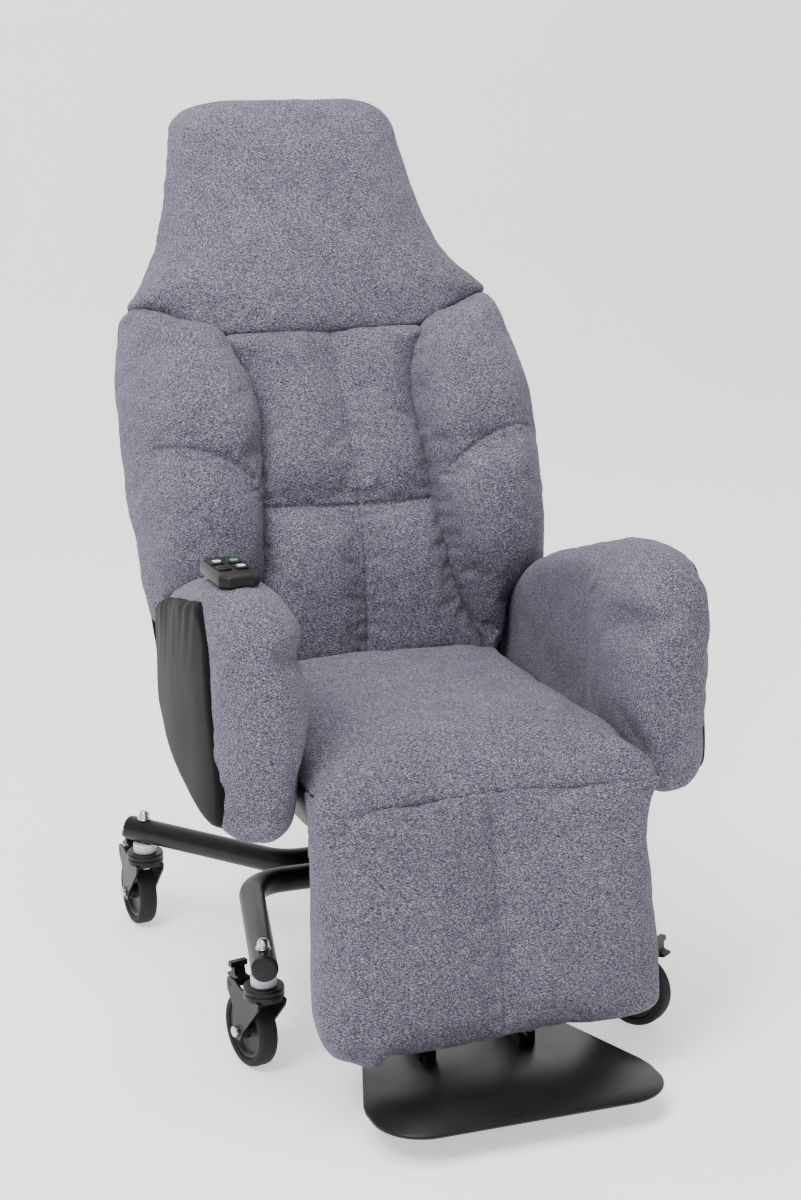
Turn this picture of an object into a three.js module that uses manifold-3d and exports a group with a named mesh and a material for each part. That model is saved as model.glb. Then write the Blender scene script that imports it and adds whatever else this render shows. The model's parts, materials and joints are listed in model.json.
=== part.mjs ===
// A wheeled shell recliner for a care home: a high winged back, padded arms and a hanging leg rest
// on a bent-tube base with four braked casters. The seat tilts in space, the back reclines with the
// leg rest linked to it, and a footplate slides in under the leg rest.
// Millimetres, +Z up, the sitter looks along -Y and the sitter's right is -X.
import * as THREE from "three";
import { mergeVertices } from "three/addons/utils/BufferGeometryUtils.js";
import Module from "manifold-3d";

const wasm = await Module();
wasm.setup();

// ---------- Driving dimensions ----------
const GAP = 0.3; // between pieces that touch
const RUNNING = 0.6; // between a pin and the hole that turns on it

// Base and casters
const WHEEL_DIAMETER = 100;
const WHEEL_SIDES = 24;
const TYRE_WIDTH = 26;
const TRAIL = 34;
const TUBE_RADIUS = 17.5;
const TUBE_WALL = 2.5;
const TUBE_HEIGHT = 153.5;
const FRONT_STEM = { x: 246, y: -212 };
const FRONT_CORNER = { x: 183, y: 50, bend: 58 };
const REAR_STEM = { x: 264, y: 307 };
const REAR_CORNER = { x: 116, y: 112, bend: 62 };
const TUBE_OVERHANG = 24; // of a tube's end beyond its caster stem
const TILT_AXIS = { y: 60, z: 305 };

// Seat
const SEAT_PAD = { halfWidth: 208, front: -340, rear: 84, bottom: 374.3, top: 450 };
const DECK = { halfWidth: 214, front: -300, rear: 100, bottom: 370, top: 374 };
const SIDE_PLATE = { inner: 214.5, outer: 218.5 };
const ARM = { inner: 222, outer: 325, front: -334, rear: 148, top: 653, bottom: 352 };
const ARM_SKIN = 8; // thickness of the arm's outer panel

// Back
const BACK_HINGE = { y: 150, z: 400 };
const RECLINE_AT_REST = 21; // degrees behind upright
const BACK_LENGTH = 831;
const BACK_DEPTH = { board: -22, pad: -8, cover: -70 };
const HINGE_PIN_RADIUS = 8;
const HINGE_PLATE = { inner: 209.5, outer: 213.5 };
const BACK_LEVER = { y: 177.4, z: 297.7 };

// Leg rest and footplate
const LEG_HINGE = { y: -350, z: 398 };
const LEG_PAD_HALF_WIDTH = 208;
const LEG_LEVER = { y: -322.6, z: 362.3 };
const LEVER_X = 95;
const FOOTPLATE = { top: 40, thickness: 5, front: -523, rear: -222 };
const RUNNER = { x: 68, front: -330, guideRear: -190, stripRear: -250 };

// Drives
const TILT_DRIVE = { base: { y: 10, z: 197 }, end: { y: -200, z: 350 } };
const RECLINE_DRIVE = { x: -95, base: { y: -120, z: 335 } };
const DRIVE_PIN = 5; // radius of the pins that carry the drives and the back's end of the link
const LEG_PIN = 4; // radius of the leg lever's pin
const FORK_EAR = { inner: 13, outer: 17, middle: 15 }; // of each pair of plates that holds such a pin

// Handset
const HANDSET = { x: -279, y: -205, width: 52, length: 102, bottom: ARM.top + GAP, height: 18 };

// ---------- Materials ----------
function finish(color, roughness, metalness = 0) {
  return new THREE.MeshStandardMaterial({ color, roughness, metalness });
}

const FABRIC = finish(0x6f7080, 0.95);
const SKAI = finish(0x2b2b2e, 0.55);
const BLACK_STEEL = finish(0x17181a, 0.4, 0.5);
const BARE_STEEL = finish(0xb9bcc0, 0.25, 0.9);
const TYRE_RUBBER = finish(0x3a3b3f, 0.8);
const BLACK_PLASTIC = finish(0x1d1e20, 0.5);
const GREY_PLASTIC = finish(0x3d3f43, 0.5);
const PALE_PLASTIC = finish(0xe2e3ea, 0.45);

// ---------- Solids: outlines, extrusions and booleans ----------
function solidOf(geometry) {
  const bare = new THREE.BufferGeometry();
  const source = geometry.index ? geometry.toNonIndexed() : geometry;
  bare.setAttribute("position", source.getAttribute("position"));
  const merged = mergeVertices(bare, 1e-4);
  return new wasm.Manifold(
    new wasm.Mesh({
      numProp: 3,
      vertProperties: merged.attributes.position.array,
      triVerts: new Uint32Array(merged.index.array),
    }),
  );
}

function geometryOf(solid) {
  const mesh = solid.getMesh();
  const geometry = new THREE.BufferGeometry();
  geometry.setAttribute("position", new THREE.BufferAttribute(mesh.vertProperties, 3));
  geometry.setIndex(new THREE.BufferAttribute(mesh.triVerts, 1));
  geometry.computeVertexNormals();
  return geometry;
}

function join(first, ...others) {
  return geometryOf(others.reduce((sum, other) => sum.add(solidOf(other)), solidOf(first)));
}

function cut(first, ...others) {
  return geometryOf(others.reduce((rest, other) => rest.subtract(solidOf(other)), solidOf(first)));
}

function common(first, second) {
  return geometryOf(solidOf(first).intersect(solidOf(second)));
}

// A closed outline through the points, with each corner rounded by up to the radius.
function outline(points, radius = 0) {
  const shape = new THREE.Shape();
  const corners = points.map(([x, y]) => new THREE.Vector2(x, y));
  corners.forEach((corner, i) => {
    const before = corners.at(i - 1);
    const after = corners[(i + 1) % corners.length];
    const reach = Math.min(radius, 0.45 * corner.distanceTo(before), 0.45 * corner.distanceTo(after));
    const start = corner.clone().lerp(before, reach / corner.distanceTo(before));
    const end = corner.clone().lerp(after, reach / corner.distanceTo(after));
    if (i === 0) shape.moveTo(start.x, start.y);
    else shape.lineTo(start.x, start.y);
    if (reach > 0) shape.quadraticCurveTo(corner.x, corner.y, end.x, end.y);
  });
  shape.closePath();
  return shape;
}

function extruded(shape, depth, bevel, curveSegments) {
  const geometry = new THREE.ExtrudeGeometry(shape, {
    depth: depth - 2 * bevel,
    curveSegments,
    bevelEnabled: bevel > 0,
    bevelThickness: bevel,
    bevelSize: bevel,
    bevelOffset: -bevel,
    bevelSegments: 2,
  });
  return geometry.translate(0, 0, bevel);
}

// An outline drawn in (x, y), standing from one height to another.
function upright(shape, from, to, bevel = 0, curveSegments = 2) {
  return extruded(shape, to - from, bevel, curveSegments).translate(0, 0, from);
}

// An outline drawn in (y, z), reaching across from one x to another.
function sideways(shape, from, to, bevel = 0, curveSegments = 2) {
  const axes = new THREE.Matrix4().makeBasis(
    new THREE.Vector3(0, 1, 0),
    new THREE.Vector3(0, 0, 1),
    new THREE.Vector3(1, 0, 0),
  );
  return extruded(shape, to - from, bevel, curveSegments).applyMatrix4(axes).translate(from, 0, 0);
}

function box(x0, x1, y0, y1, z0, z1) {
  const geometry = new THREE.BoxGeometry(x1 - x0, y1 - y0, z1 - z0);
  return geometry.translate((x0 + x1) / 2, (y0 + y1) / 2, (z0 + z1) / 2);
}

// The two ends of a reach across from the middle, low end first, on one side of the chair.
function reachOn(side, near, far) {
  return [side * near, side * far].sort((a, b) => a - b);
}

// A round bar along x.
function crossPin(x0, x1, y, z, radius, sides = 12) {
  const geometry = new THREE.CylinderGeometry(radius, radius, x1 - x0, sides).rotateZ(Math.PI / 2);
  return geometry.translate((x0 + x1) / 2, y, z);
}

// A round bar along z.
function post(x, y, z0, z1, radius, sides = 12) {
  const geometry = new THREE.CylinderGeometry(radius, radius, z1 - z0, sides).rotateX(Math.PI / 2);
  return geometry.translate(x, y, (z0 + z1) / 2);
}

// A turned profile of (radius, height) points about z.
function turned(points, sides) {
  const profile = points.map(([radius, height]) => new THREE.Vector2(radius, height));
  return new THREE.LatheGeometry(profile, sides).rotateX(Math.PI / 2);
}

// A bar along a straight line between two points in the (y, z) plane at the given x.
function strut(x, start, end, radius, sides = 10) {
  const length = Math.hypot(end.y - start.y, end.z - start.z);
  const geometry = new THREE.CylinderGeometry(radius, radius, length, sides);
  geometry.rotateX(Math.atan2(end.z - start.z, end.y - start.y));
  return geometry.translate(x, (start.y + end.y) / 2, (start.z + end.z) / 2);
}

function pointAlong(start, end, distance) {
  const length = Math.hypot(end.y - start.y, end.z - start.z);
  const part = distance / length;
  return { y: start.y + (end.y - start.y) * part, z: start.z + (end.z - start.z) * part };
}

// A pipe's centre line: straight runs with each inner corner rounded, cut into few stations.
class PipePath extends THREE.Curve {
  constructor(corners, bends, arcSteps = 4) {
    super();
    this.stations = [corners[0]];
    for (let i = 1; i < corners.length - 1; i++) {
      const before = corners[i - 1].clone().sub(corners[i]).normalize();
      const after = corners[i + 1].clone().sub(corners[i]).normalize();
      const reach = bends[i - 1] / Math.tan(before.angleTo(after) / 2);
      const bend = new THREE.QuadraticBezierCurve3(
        corners[i].clone().addScaledVector(before, reach),
        corners[i],
        corners[i].clone().addScaledVector(after, reach),
      );
      this.stations.push(...bend.getPoints(arcSteps));
    }
    this.stations.push(corners.at(-1));
  }

  getPoint(t) {
    const place = Math.min(t, 1) * (this.stations.length - 1);
    const index = Math.min(Math.floor(place), this.stations.length - 2);
    return this.stations[index].clone().lerp(this.stations[index + 1], place - index);
  }

  getPointAt(t) {
    return this.getPoint(t);
  }

  getTangentAt(t) {
    const index = Math.round(t * (this.stations.length - 1));
    const before = this.stations[Math.max(index - 1, 0)];
    const after = this.stations[Math.min(index + 1, this.stations.length - 1)];
    return after.clone().sub(before).normalize();
  }
}

function pipe(path, outer, wall) {
  const ring = new THREE.Shape().absarc(0, 0, outer, 0, 2 * Math.PI, false);
  if (wall > 0) ring.holes.push(new THREE.Path().absarc(0, 0, outer - wall, 0, 2 * Math.PI, true));
  return new THREE.ExtrudeGeometry(ring, {
    extrudePath: path,
    steps: path.stations.length - 1,
    curveSegments: 6,
    bevelEnabled: false,
  });
}

// ---------- Scene graph ----------
function piece(group, name, geometry, material) {
  const mesh = new THREE.Mesh(geometry, material);
  mesh.name = name;
  group.add(mesh);
  return mesh;
}

const chair = new THREE.Group();

// ---------- Base: two bent tubes, end plugs, the mast and the tilt pin ----------
const STEM_RADIUS = 6;
const STEM_HOLE = STEM_RADIUS + 2 * RUNNING;

// The two ends, corners and stems of a U of tube, from the half that lies at +x.
function baseTube(stem, corner) {
  const leg = new THREE.Vector2(stem.x - corner.x, stem.y - corner.y).normalize();
  const end = { x: stem.x + leg.x * TUBE_OVERHANG, y: stem.y + leg.y * TUBE_OVERHANG };
  const corners = [
    new THREE.Vector3(-end.x, end.y, TUBE_HEIGHT),
    new THREE.Vector3(-corner.x, corner.y, TUBE_HEIGHT),
    new THREE.Vector3(corner.x, corner.y, TUBE_HEIGHT),
    new THREE.Vector3(end.x, end.y, TUBE_HEIGHT),
  ];
  const tube = pipe(new PipePath(corners, [corner.bend, corner.bend]), TUBE_RADIUS, TUBE_WALL);
  const low = TUBE_HEIGHT - 2 * TUBE_RADIUS;
  const high = TUBE_HEIGHT + 2 * TUBE_RADIUS;
  const holes = [-1, 1].map((side) => post(side * stem.x, stem.y, low, high, STEM_HOLE, 8));
  return { geometry: cut(tube, ...holes), end, leg };
}

const frontTube = baseTube(FRONT_STEM, FRONT_CORNER);
const rearTube = baseTube(REAR_STEM, REAR_CORNER);
piece(chair, "front_tube", frontTube.geometry, BLACK_STEEL);
piece(chair, "rear_tube", rearTube.geometry, BLACK_STEEL);

// A plug's round head closes the tube's end and its plain shank sits in the bore.
function tubePlug(name, side) {
  const plug = turned(
    [
      [0, -12],
      [TUBE_RADIUS - TUBE_WALL - 0.8, -12],
      [TUBE_RADIUS - TUBE_WALL - 0.8, GAP],
      [TUBE_RADIUS, GAP],
      [TUBE_RADIUS, 2],
      [TUBE_RADIUS - 2, 4],
      [0, 4],
    ],
    12,
  );
  const mesh = piece(chair, name, plug, GREY_PLASTIC);
  mesh.position.set(side * frontTube.end.x, frontTube.end.y, TUBE_HEIGHT);
  const outward = new THREE.Vector3(side * frontTube.leg.x, frontTube.leg.y, 0);
  mesh.quaternion.setFromUnitVectors(new THREE.Vector3(0, 0, 1), outward);
}

tubePlug("plug_front_left", -1);
tubePlug("plug_front_right", 1);

const MAST = { inner: 40, outer: 44, foot: TUBE_HEIGHT + TUBE_RADIUS + GAP, footThickness: 5 };
const TILT_PIN_RADIUS = 8;

function mast() {
  const footTop = MAST.foot + MAST.footThickness;
  const cheek = outline(
    [
      [32, MAST.foot],
      [140, MAST.foot],
      [TILT_AXIS.y + 24, TILT_AXIS.z],
      [TILT_AXIS.y + 14, TILT_AXIS.z + 20],
      [TILT_AXIS.y - 14, TILT_AXIS.z + 20],
      [TILT_AXIS.y - 22, TILT_AXIS.z],
    ],
    12,
  );
  const { base } = TILT_DRIVE;
  const ear = outline(
    [
      [base.y - 14, MAST.foot],
      [base.y + 14, MAST.foot],
      [base.y + 9, base.z + 9],
      [base.y - 9, base.z + 9],
    ],
    5,
  );
  const frame = join(
    box(-MAST.outer, MAST.outer, -6, 140, MAST.foot, footTop),
    sideways(cheek, MAST.inner, MAST.outer),
    sideways(cheek, -MAST.outer, -MAST.inner),
    box(-MAST.outer, MAST.outer, 110, 114, MAST.foot, 230),
    sideways(ear, FORK_EAR.inner, FORK_EAR.outer),
    sideways(ear, -FORK_EAR.outer, -FORK_EAR.inner),
    crossPin(-FORK_EAR.middle, FORK_EAR.middle, base.y, base.z, DRIVE_PIN, 8),
  );
  return cut(frame, crossPin(-60, 60, TILT_AXIS.y, TILT_AXIS.z, TILT_PIN_RADIUS + RUNNING));
}

piece(chair, "mast", mast(), BLACK_STEEL);
piece(
  chair,
  "tilt_pin",
  crossPin(-50, 50, TILT_AXIS.y, TILT_AXIS.z, TILT_PIN_RADIUS),
  BARE_STEEL,
);

// ---------- Casters ----------
const WHEEL_RADIUS = WHEEL_DIAMETER / 2;
const RACEWAY = { bottom: 105, top: 122, radius: 26 };
const SPACER = { bottom: RACEWAY.top + GAP, top: TUBE_HEIGHT - TUBE_RADIUS - GAP, radius: 17 };
const FORK_LEG = { inner: 18, outer: 21 };
const AXLE_RADIUS = 4;
const PEDAL_AXIS = { y: 52, z: 109 };
const PEDAL_PIN = 2.4;
const PEDAL_HOLE = 3.2;

function fork() {
  const leg = outline(
    [
      [-22, RACEWAY.bottom],
      [-20, 96],
      [TRAIL - 12, WHEEL_RADIUS],
      [TRAIL - 8, WHEEL_RADIUS - 12],
      [TRAIL + 8, WHEEL_RADIUS - 12],
      [TRAIL + 12, WHEEL_RADIUS],
      [TRAIL + 12, 84],
      [60, 100],
      [60, 118],
      [40, 118],
      [24, RACEWAY.bottom + 6],
    ],
    6,
  );
  const body = join(
    post(0, 0, RACEWAY.bottom, RACEWAY.top, RACEWAY.radius, 16),
    box(-FORK_LEG.outer, FORK_LEG.outer, -22, 30, 102.6, 106.6),
    sideways(leg, FORK_LEG.inner, FORK_LEG.outer, 0, 2),
    sideways(leg, -FORK_LEG.outer, -FORK_LEG.inner, 0, 2),
  );
  return cut(
    body,
    post(0, 0, 90, 130, STEM_HOLE, 8),
    crossPin(-30, 30, TRAIL, WHEEL_RADIUS, AXLE_RADIUS + RUNNING, 8),
    crossPin(-30, 30, PEDAL_AXIS.y, PEDAL_AXIS.z, PEDAL_HOLE, 8),
  );
}

// A wheel's section turned about its axle, standing on the flat between two of its corners.
function wheelRing(points) {
  const ring = turned(points, WHEEL_SIDES);
  return ring.rotateZ(Math.PI / WHEEL_SIDES).rotateY(Math.PI / 2);
}

function tyre() {
  const half = TYRE_WIDTH / 2;
  const tread = WHEEL_RADIUS / Math.cos(Math.PI / WHEEL_SIDES);
  return wheelRing([
    [39, -half + 2],
    [44, -half],
    [tread - 3, -half + 2.5],
    [tread, -half + 7],
    [tread, half - 7],
    [tread - 3, half - 2.5],
    [44, half],
    [39, half - 2],
    [39, -half + 2],
  ]);
}

function rim() {
  const bore = AXLE_RADIUS + RUNNING;
  const edge = 39 - GAP;
  return wheelRing([
    [bore, -16],
    [11, -16],
    [12, -5],
    [32, -4],
    [edge, -9],
    [edge, 9],
    [32, 4],
    [12, 5],
    [11, 16],
    [bore, 16],
    [bore, -16],
  ]);
}

function axleBolt() {
  const head = FORK_LEG.outer + GAP;
  return turned(
    [
      [0, -head - 6],
      [7, -head - 6],
      [7, -head],
      [AXLE_RADIUS, -head],
      [AXLE_RADIUS, head],
      [6.5, head],
      [6.5, head + 5],
      [0, head + 5],
    ],
    12,
  ).rotateY(Math.PI / 2);
}

// The pedal's cross tube turns between the fork's legs, and its tab stands up behind the raceway.
function brakePedal() {
  const side = FORK_LEG.inner - 1;
  const arm = outline(
    [
      [46, 104],
      [58, 103.5],
      [82, 108],
      [82, 112],
      [72, 114],
      [71, 128],
      [64, 128],
      [62, 114],
      [47, 114],
    ],
    2,
  );
  return join(
    sideways(arm, -8, 8, 0, 2),
    crossPin(-side, side, PEDAL_AXIS.y, PEDAL_AXIS.z, 5, 8),
    crossPin(-FORK_LEG.outer, FORK_LEG.outer, PEDAL_AXIS.y, PEDAL_AXIS.z, PEDAL_PIN, 8),
    box(-12, 12, 63.5, 72, 124, 131),
  );
}

function spacer() {
  return turned(
    [
      [STEM_HOLE, SPACER.bottom],
      [SPACER.radius, SPACER.bottom],
      [SPACER.radius, SPACER.top],
      [STEM_HOLE, SPACER.top],
      [STEM_HOLE, SPACER.bottom],
    ],
    16,
  );
}

// The stem bolt runs up through fork, spacer and tube to a domed nut.
function stemBolt() {
  const nut = TUBE_HEIGHT + TUBE_RADIUS + GAP;
  return turned(
    [
      [0, 96],
      [9, 96],
      [9, 102.3],
      [STEM_RADIUS, 102.3],
      [STEM_RADIUS, nut],
      [9, nut],
      [9, nut + 1.5],
      [7.5, nut + 2],
      [7.5, nut + 8],
      [5.5, nut + 12],
      [0, nut + 13.5],
    ],
    12,
  );
}

const casterPlaces = [
  { corner: "front_left", side: -1, stem: FRONT_STEM, swivel: 12 },
  { corner: "front_right", side: 1, stem: FRONT_STEM, swivel: -147 },
  { corner: "rear_left", side: -1, stem: REAR_STEM, swivel: 4 },
  { corner: "rear_right", side: 1, stem: REAR_STEM, swivel: 0 },
];

for (const { corner, side, stem, swivel } of casterPlaces) {
  const caster = new THREE.Group();
  caster.position.set(side * stem.x, stem.y, 0);
  caster.rotation.z = THREE.MathUtils.degToRad(swivel);
  chair.add(caster);
  piece(caster, `spacer_${corner}`, spacer(), PALE_PLASTIC);
  piece(caster, `stem_bolt_${corner}`, stemBolt(), BARE_STEEL);
  piece(caster, `fork_${corner}`, fork(), BLACK_STEEL);
  piece(caster, `brake_pedal_${corner}`, brakePedal(), BLACK_PLASTIC);
  const wheel = new THREE.Group();
  wheel.position.set(0, TRAIL, WHEEL_RADIUS);
  caster.add(wheel);
  piece(wheel, `tyre_${corner}`, tyre(), TYRE_RUBBER);
  piece(wheel, `rim_${corner}`, rim(), BLACK_PLASTIC);
  piece(wheel, `axle_bolt_${corner}`, axleBolt(), BARE_STEEL);
}

// ---------- Seat: frame, pad, arms ----------
// A plate that hangs from the deck down to a drive's pin.
function hangingEar(pin) {
  return outline(
    [
      [pin.y - 16, DECK.bottom + 1],
      [pin.y - 8, pin.z - 8],
      [pin.y + 8, pin.z - 8],
      [pin.y + 16, DECK.bottom + 1],
    ],
    4,
  );
}

function seatFrame() {
  const plate = outline(
    [
      [LEG_HINGE.y - 10, LEG_HINGE.z - 10],
      [LEG_HINGE.y - 10, LEG_HINGE.z + 10],
      [LEG_HINGE.y + 12, LEG_HINGE.z + 12],
      [BACK_HINGE.y, BACK_HINGE.z + 14],
      [BACK_HINGE.y + 14, BACK_HINGE.z + 8],
      [BACK_HINGE.y + 14, BACK_HINGE.z - 12],
      [DECK.rear, DECK.bottom - 6],
      [DECK.front - 10, DECK.bottom - 6],
      [LEG_HINGE.y + 8, LEG_HINGE.z - 12],
    ],
    7,
  );
  const tiltLug = outline(
    [
      [TILT_AXIS.y - 40, DECK.bottom + 1],
      [TILT_AXIS.y - 14, TILT_AXIS.z - 14],
      [TILT_AXIS.y + 14, TILT_AXIS.z - 14],
      [DECK.rear, DECK.bottom + 1],
    ],
    10,
  );
  const { end } = TILT_DRIVE;
  const { base, x } = RECLINE_DRIVE;
  const solids = [
    box(-DECK.halfWidth, DECK.halfWidth, DECK.front, DECK.rear, DECK.bottom, DECK.top),
    box(-DECK.halfWidth, DECK.halfWidth, DECK.front, DECK.front + 4, DECK.bottom - 4, DECK.top),
    box(-DECK.halfWidth, DECK.halfWidth, DECK.rear - 4, DECK.rear, DECK.bottom - 4, DECK.top),
    crossPin(-FORK_EAR.middle, FORK_EAR.middle, end.y, end.z, DRIVE_PIN, 8),
    crossPin(x - FORK_EAR.middle, x + FORK_EAR.middle, base.y, base.z, DRIVE_PIN, 8),
  ];
  for (const side of [-1, 1]) {
    const { inner, outer } = SIDE_PLATE;
    const stud = reachOn(side, inner - 9, outer);
    const web = reachOn(side, DECK.halfWidth - 2, inner + 1);
    solids.push(
      sideways(plate, ...reachOn(side, inner, outer)),
      box(...web, DECK.front + 20, DECK.rear - 20, DECK.bottom, DECK.top),
      crossPin(...stud, BACK_HINGE.y, BACK_HINGE.z, HINGE_PIN_RADIUS),
      crossPin(...stud, LEG_HINGE.y, LEG_HINGE.z, HINGE_PIN_RADIUS),
      sideways(tiltLug, ...reachOn(side, 30, 36)),
      sideways(hangingEar(end), ...reachOn(side, FORK_EAR.inner, FORK_EAR.outer)),
    );
  }
  solids.push(
    sideways(hangingEar(base), x - FORK_EAR.outer, x - FORK_EAR.inner),
    sideways(hangingEar(base), x + FORK_EAR.inner, x + FORK_EAR.outer),
  );
  return cut(join(...solids), crossPin(-60, 60, TILT_AXIS.y, TILT_AXIS.z, TILT_PIN_RADIUS + RUNNING));
}

const seat = new THREE.Group();
chair.add(seat);
piece(seat, "seat_frame", seatFrame(), BLACK_STEEL);

function seatPad() {
  const { front, rear, bottom, top, halfWidth } = SEAT_PAD;
  const profile = outline(
    [
      [-290, bottom],
      [front, bottom + 22],
      [front, top - 4],
      [-120, top],
      [rear, top - 10],
      [rear, bottom],
    ],
    22,
  );
  return sideways(profile, -halfWidth, halfWidth);
}

piece(seat, "seat_pad", seatPad(), FABRIC);

// An arm from the side, as (y, z), and from above, as (y, half-width of its outer face).
const ARM_OUTLINE = [
  [ARM.rear, 390],
  [ARM.rear, 494],
  [92, 546],
  [42, 582],
  [-80, 624],
  [-174, 649],
  [-200, ARM.top],
  [-262, ARM.top],
  [-306, 636],
  [ARM.front + 6, 598],
  [ARM.front, 520],
  [-324, 450],
  [-304, 372],
  [-280, ARM.bottom],
  [-200, 360],
  [40, 386],
];
const ARM_OUTER_FACE = [
  [-255, ARM.outer],
  [-180, 322],
  [0, 302],
  [ARM.rear, 270],
];
const PANEL_OUTLINE = [
  [ARM.rear, 396],
  [ARM.rear, 500],
  [92, 554],
  [40, 578],
  [-100, 612],
  [-230, 638],
  [-252, 600],
  [-255, 470],
  [-255, 378],
  [-200, 372],
  [40, 396],
];

// The outline's mirror image on the left keeps the same turning direction.
function onSide(side, points) {
  const placed = points.map(([x, y]) => [side * x, y]);
  return side > 0 ? placed : placed.reverse();
}

function armPad(side) {
  const plan = [
    [ARM.inner, -320],
    [236, ARM.front],
    [282, ARM.front],
    [312, -308],
    ...ARM_OUTER_FACE.map(([y, x]) => [x, y]),
    [ARM.inner, ARM.rear],
  ];
  const fromSide = sideways(outline(ARM_OUTLINE, 22), -340, 340, 0, 3);
  return common(upright(outline(onSide(side, plan), 20), 300, 700, 0, 3), fromSide);
}

function sidePanel(side) {
  const inside = ARM_OUTER_FACE.map(([y, x]) => [x + GAP, y]);
  const outside = ARM_OUTER_FACE.map(([y, x]) => [x + ARM_SKIN, y]).reverse();
  const band = outline(onSide(side, [...inside, ...outside]));
  return common(upright(band, 300, 700), sideways(outline(PANEL_OUTLINE, 14), -340, 340));
}

piece(seat, "arm_pad_left", armPad(-1), FABRIC);
piece(seat, "arm_pad_right", armPad(1), FABRIC);
piece(seat, "side_panel_left", sidePanel(-1), SKAI);
piece(seat, "side_panel_right", sidePanel(1), SKAI);

// ---------- Back, drawn in its own frame: x across, y up along it, z towards its front ----------
const back = new THREE.Group();
back.position.set(0, BACK_HINGE.y, BACK_HINGE.z);
back.rotation.x = Math.PI / 2 - THREE.MathUtils.degToRad(RECLINE_AT_REST);
chair.add(back);

// The right half of the centre panel and headrest, from the seat up, as (x, height along the back).
const CENTRE_HALF = [
  [140, 22],
  [124, 234],
  [116, 340],
  [122, 470],
  [150, 492],
  [252, 533],
  [238, 566],
  [204, 630],
  [180, 690],
  [170, 740],
  [154, 800],
  [120, 824],
  [80, BACK_LENGTH],
];

const WING_HALF = [
  [143, 22],
  [127, 234],
  [119, 340],
  [125, 466],
  [154, 489],
  [254, 529],
  [280, 506],
  [294, 450],
  [302, 340],
  [302, 200],
  [296, 150],
  [206, 120],
  [200, 22],
];

// A wing's section across the back, as (x, depth).
const WING_SECTION = [
  [100, BACK_DEPTH.pad],
  [284, BACK_DEPTH.pad],
  [300, 50],
  [302, 84],
  [286, 116],
  [240, 144],
  [180, 150],
  [130, 112],
  [100, 84],
];

function bothHalves(half) {
  return [...half, ...half.toReversed().map(([x, y]) => [-x, y])];
}

// A section drawn as (x, depth), reaching along the back from one height to another.
function alongBack(shape, from, to) {
  const axes = new THREE.Matrix4().makeBasis(
    new THREE.Vector3(1, 0, 0),
    new THREE.Vector3(0, 0, 1),
    new THREE.Vector3(0, -1, 0),
  );
  return extruded(shape, to - from, 0, 3).applyMatrix4(axes).translate(0, to, 0);
}

function backPad() {
  const face = outline(bothHalves(CENTRE_HALF), 24);
  const profile = outline(
    [
      [10, BACK_DEPTH.pad],
      [10, 56],
      [130, 94],
      [240, 102],
      [360, 96],
      [484, 78],
      [650, 66],
      [800, 56],
      [840, 30],
      [840, BACK_DEPTH.pad],
    ],
    20,
  );
  return common(upright(face, -60, 160), sideways(profile, -320, 320));
}

function wing(side) {
  const face = outline(onSide(side, WING_HALF), 18);
  const section = outline(onSide(side, WING_SECTION), 18);
  const profile = outline(
    [
      [10, BACK_DEPTH.pad],
      [10, 70],
      [110, 92],
      [170, 132],
      [300, 152],
      [420, 146],
      [500, 112],
      [540, 78],
      [545, BACK_DEPTH.pad],
    ],
    24,
  );
  const front = common(upright(face, -60, 190), sideways(profile, -320, 320));
  return common(front, alongBack(section, 0, 560));
}

function shellHalf(inset) {
  return [
    [232 - inset, -6 + inset],
    [264 - inset, 150],
    [266 - inset, 300],
    [252 - inset, 470],
    [222 - inset, 545],
    [180 - inset, 650],
    [152 - inset, 740],
    [134 - inset, 790],
    [90 - inset, 812 - inset],
  ];
}

function backFrame() {
  const board = upright(outline(bothHalves(shellHalf(12)), 30), BACK_DEPTH.board, BACK_DEPTH.pad - GAP);
  const recline = THREE.MathUtils.degToRad(RECLINE_AT_REST);
  const away = { y: BACK_LEVER.y - BACK_HINGE.y, z: BACK_LEVER.z - BACK_HINGE.z };
  const lever = [
    away.y * Math.sin(recline) + away.z * Math.cos(recline),
    away.z * Math.sin(recline) - away.y * Math.cos(recline),
  ];
  const hingePlate = outline(
    [
      [-16, -16],
      [-16, 16],
      [14, 16],
      [106, -10],
      [106, BACK_DEPTH.board],
      [10, BACK_DEPTH.board],
    ],
    8,
  );
  const leverPlate = outline(
    [
      [3, BACK_DEPTH.pad - 1],
      [-24, BACK_DEPTH.pad - 1],
      [lever[0] - 10, lever[1] + 2],
      [lever[0] - 2, lever[1] - 10],
      [3, BACK_DEPTH.board + 1],
    ],
    6,
  );
  const { inner, outer } = HINGE_PLATE;
  const lowerRail = box(-200, 200, -24, 12, BACK_DEPTH.board, BACK_DEPTH.pad - GAP);
  const solids = [board, lowerRail];
  for (const side of [-1, 1]) {
    solids.push(sideways(hingePlate, ...reachOn(side, inner, outer)));
    const x = side * LEVER_X;
    solids.push(
      sideways(leverPlate, x - FORK_EAR.outer, x - FORK_EAR.inner),
      sideways(leverPlate, x + FORK_EAR.inner, x + FORK_EAR.outer),
      crossPin(x - FORK_EAR.middle, x + FORK_EAR.middle, lever[0], lever[1], DRIVE_PIN, 8),
    );
  }
  return cut(join(...solids), crossPin(-230, 230, 0, 0, HINGE_PIN_RADIUS + RUNNING));
}

function backCover() {
  const face = outline(bothHalves(shellHalf(0)), 36);
  const profile = outline(
    [
      [4, BACK_DEPTH.board - GAP],
      [4, -52],
      [60, BACK_DEPTH.cover],
      [480, BACK_DEPTH.cover],
      [640, -56],
      [790, -50],
      [820, -36],
      [820, BACK_DEPTH.board - GAP],
    ],
    20,
  );
  return common(upright(face, -100, 0), sideways(profile, -320, 320));
}

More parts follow.
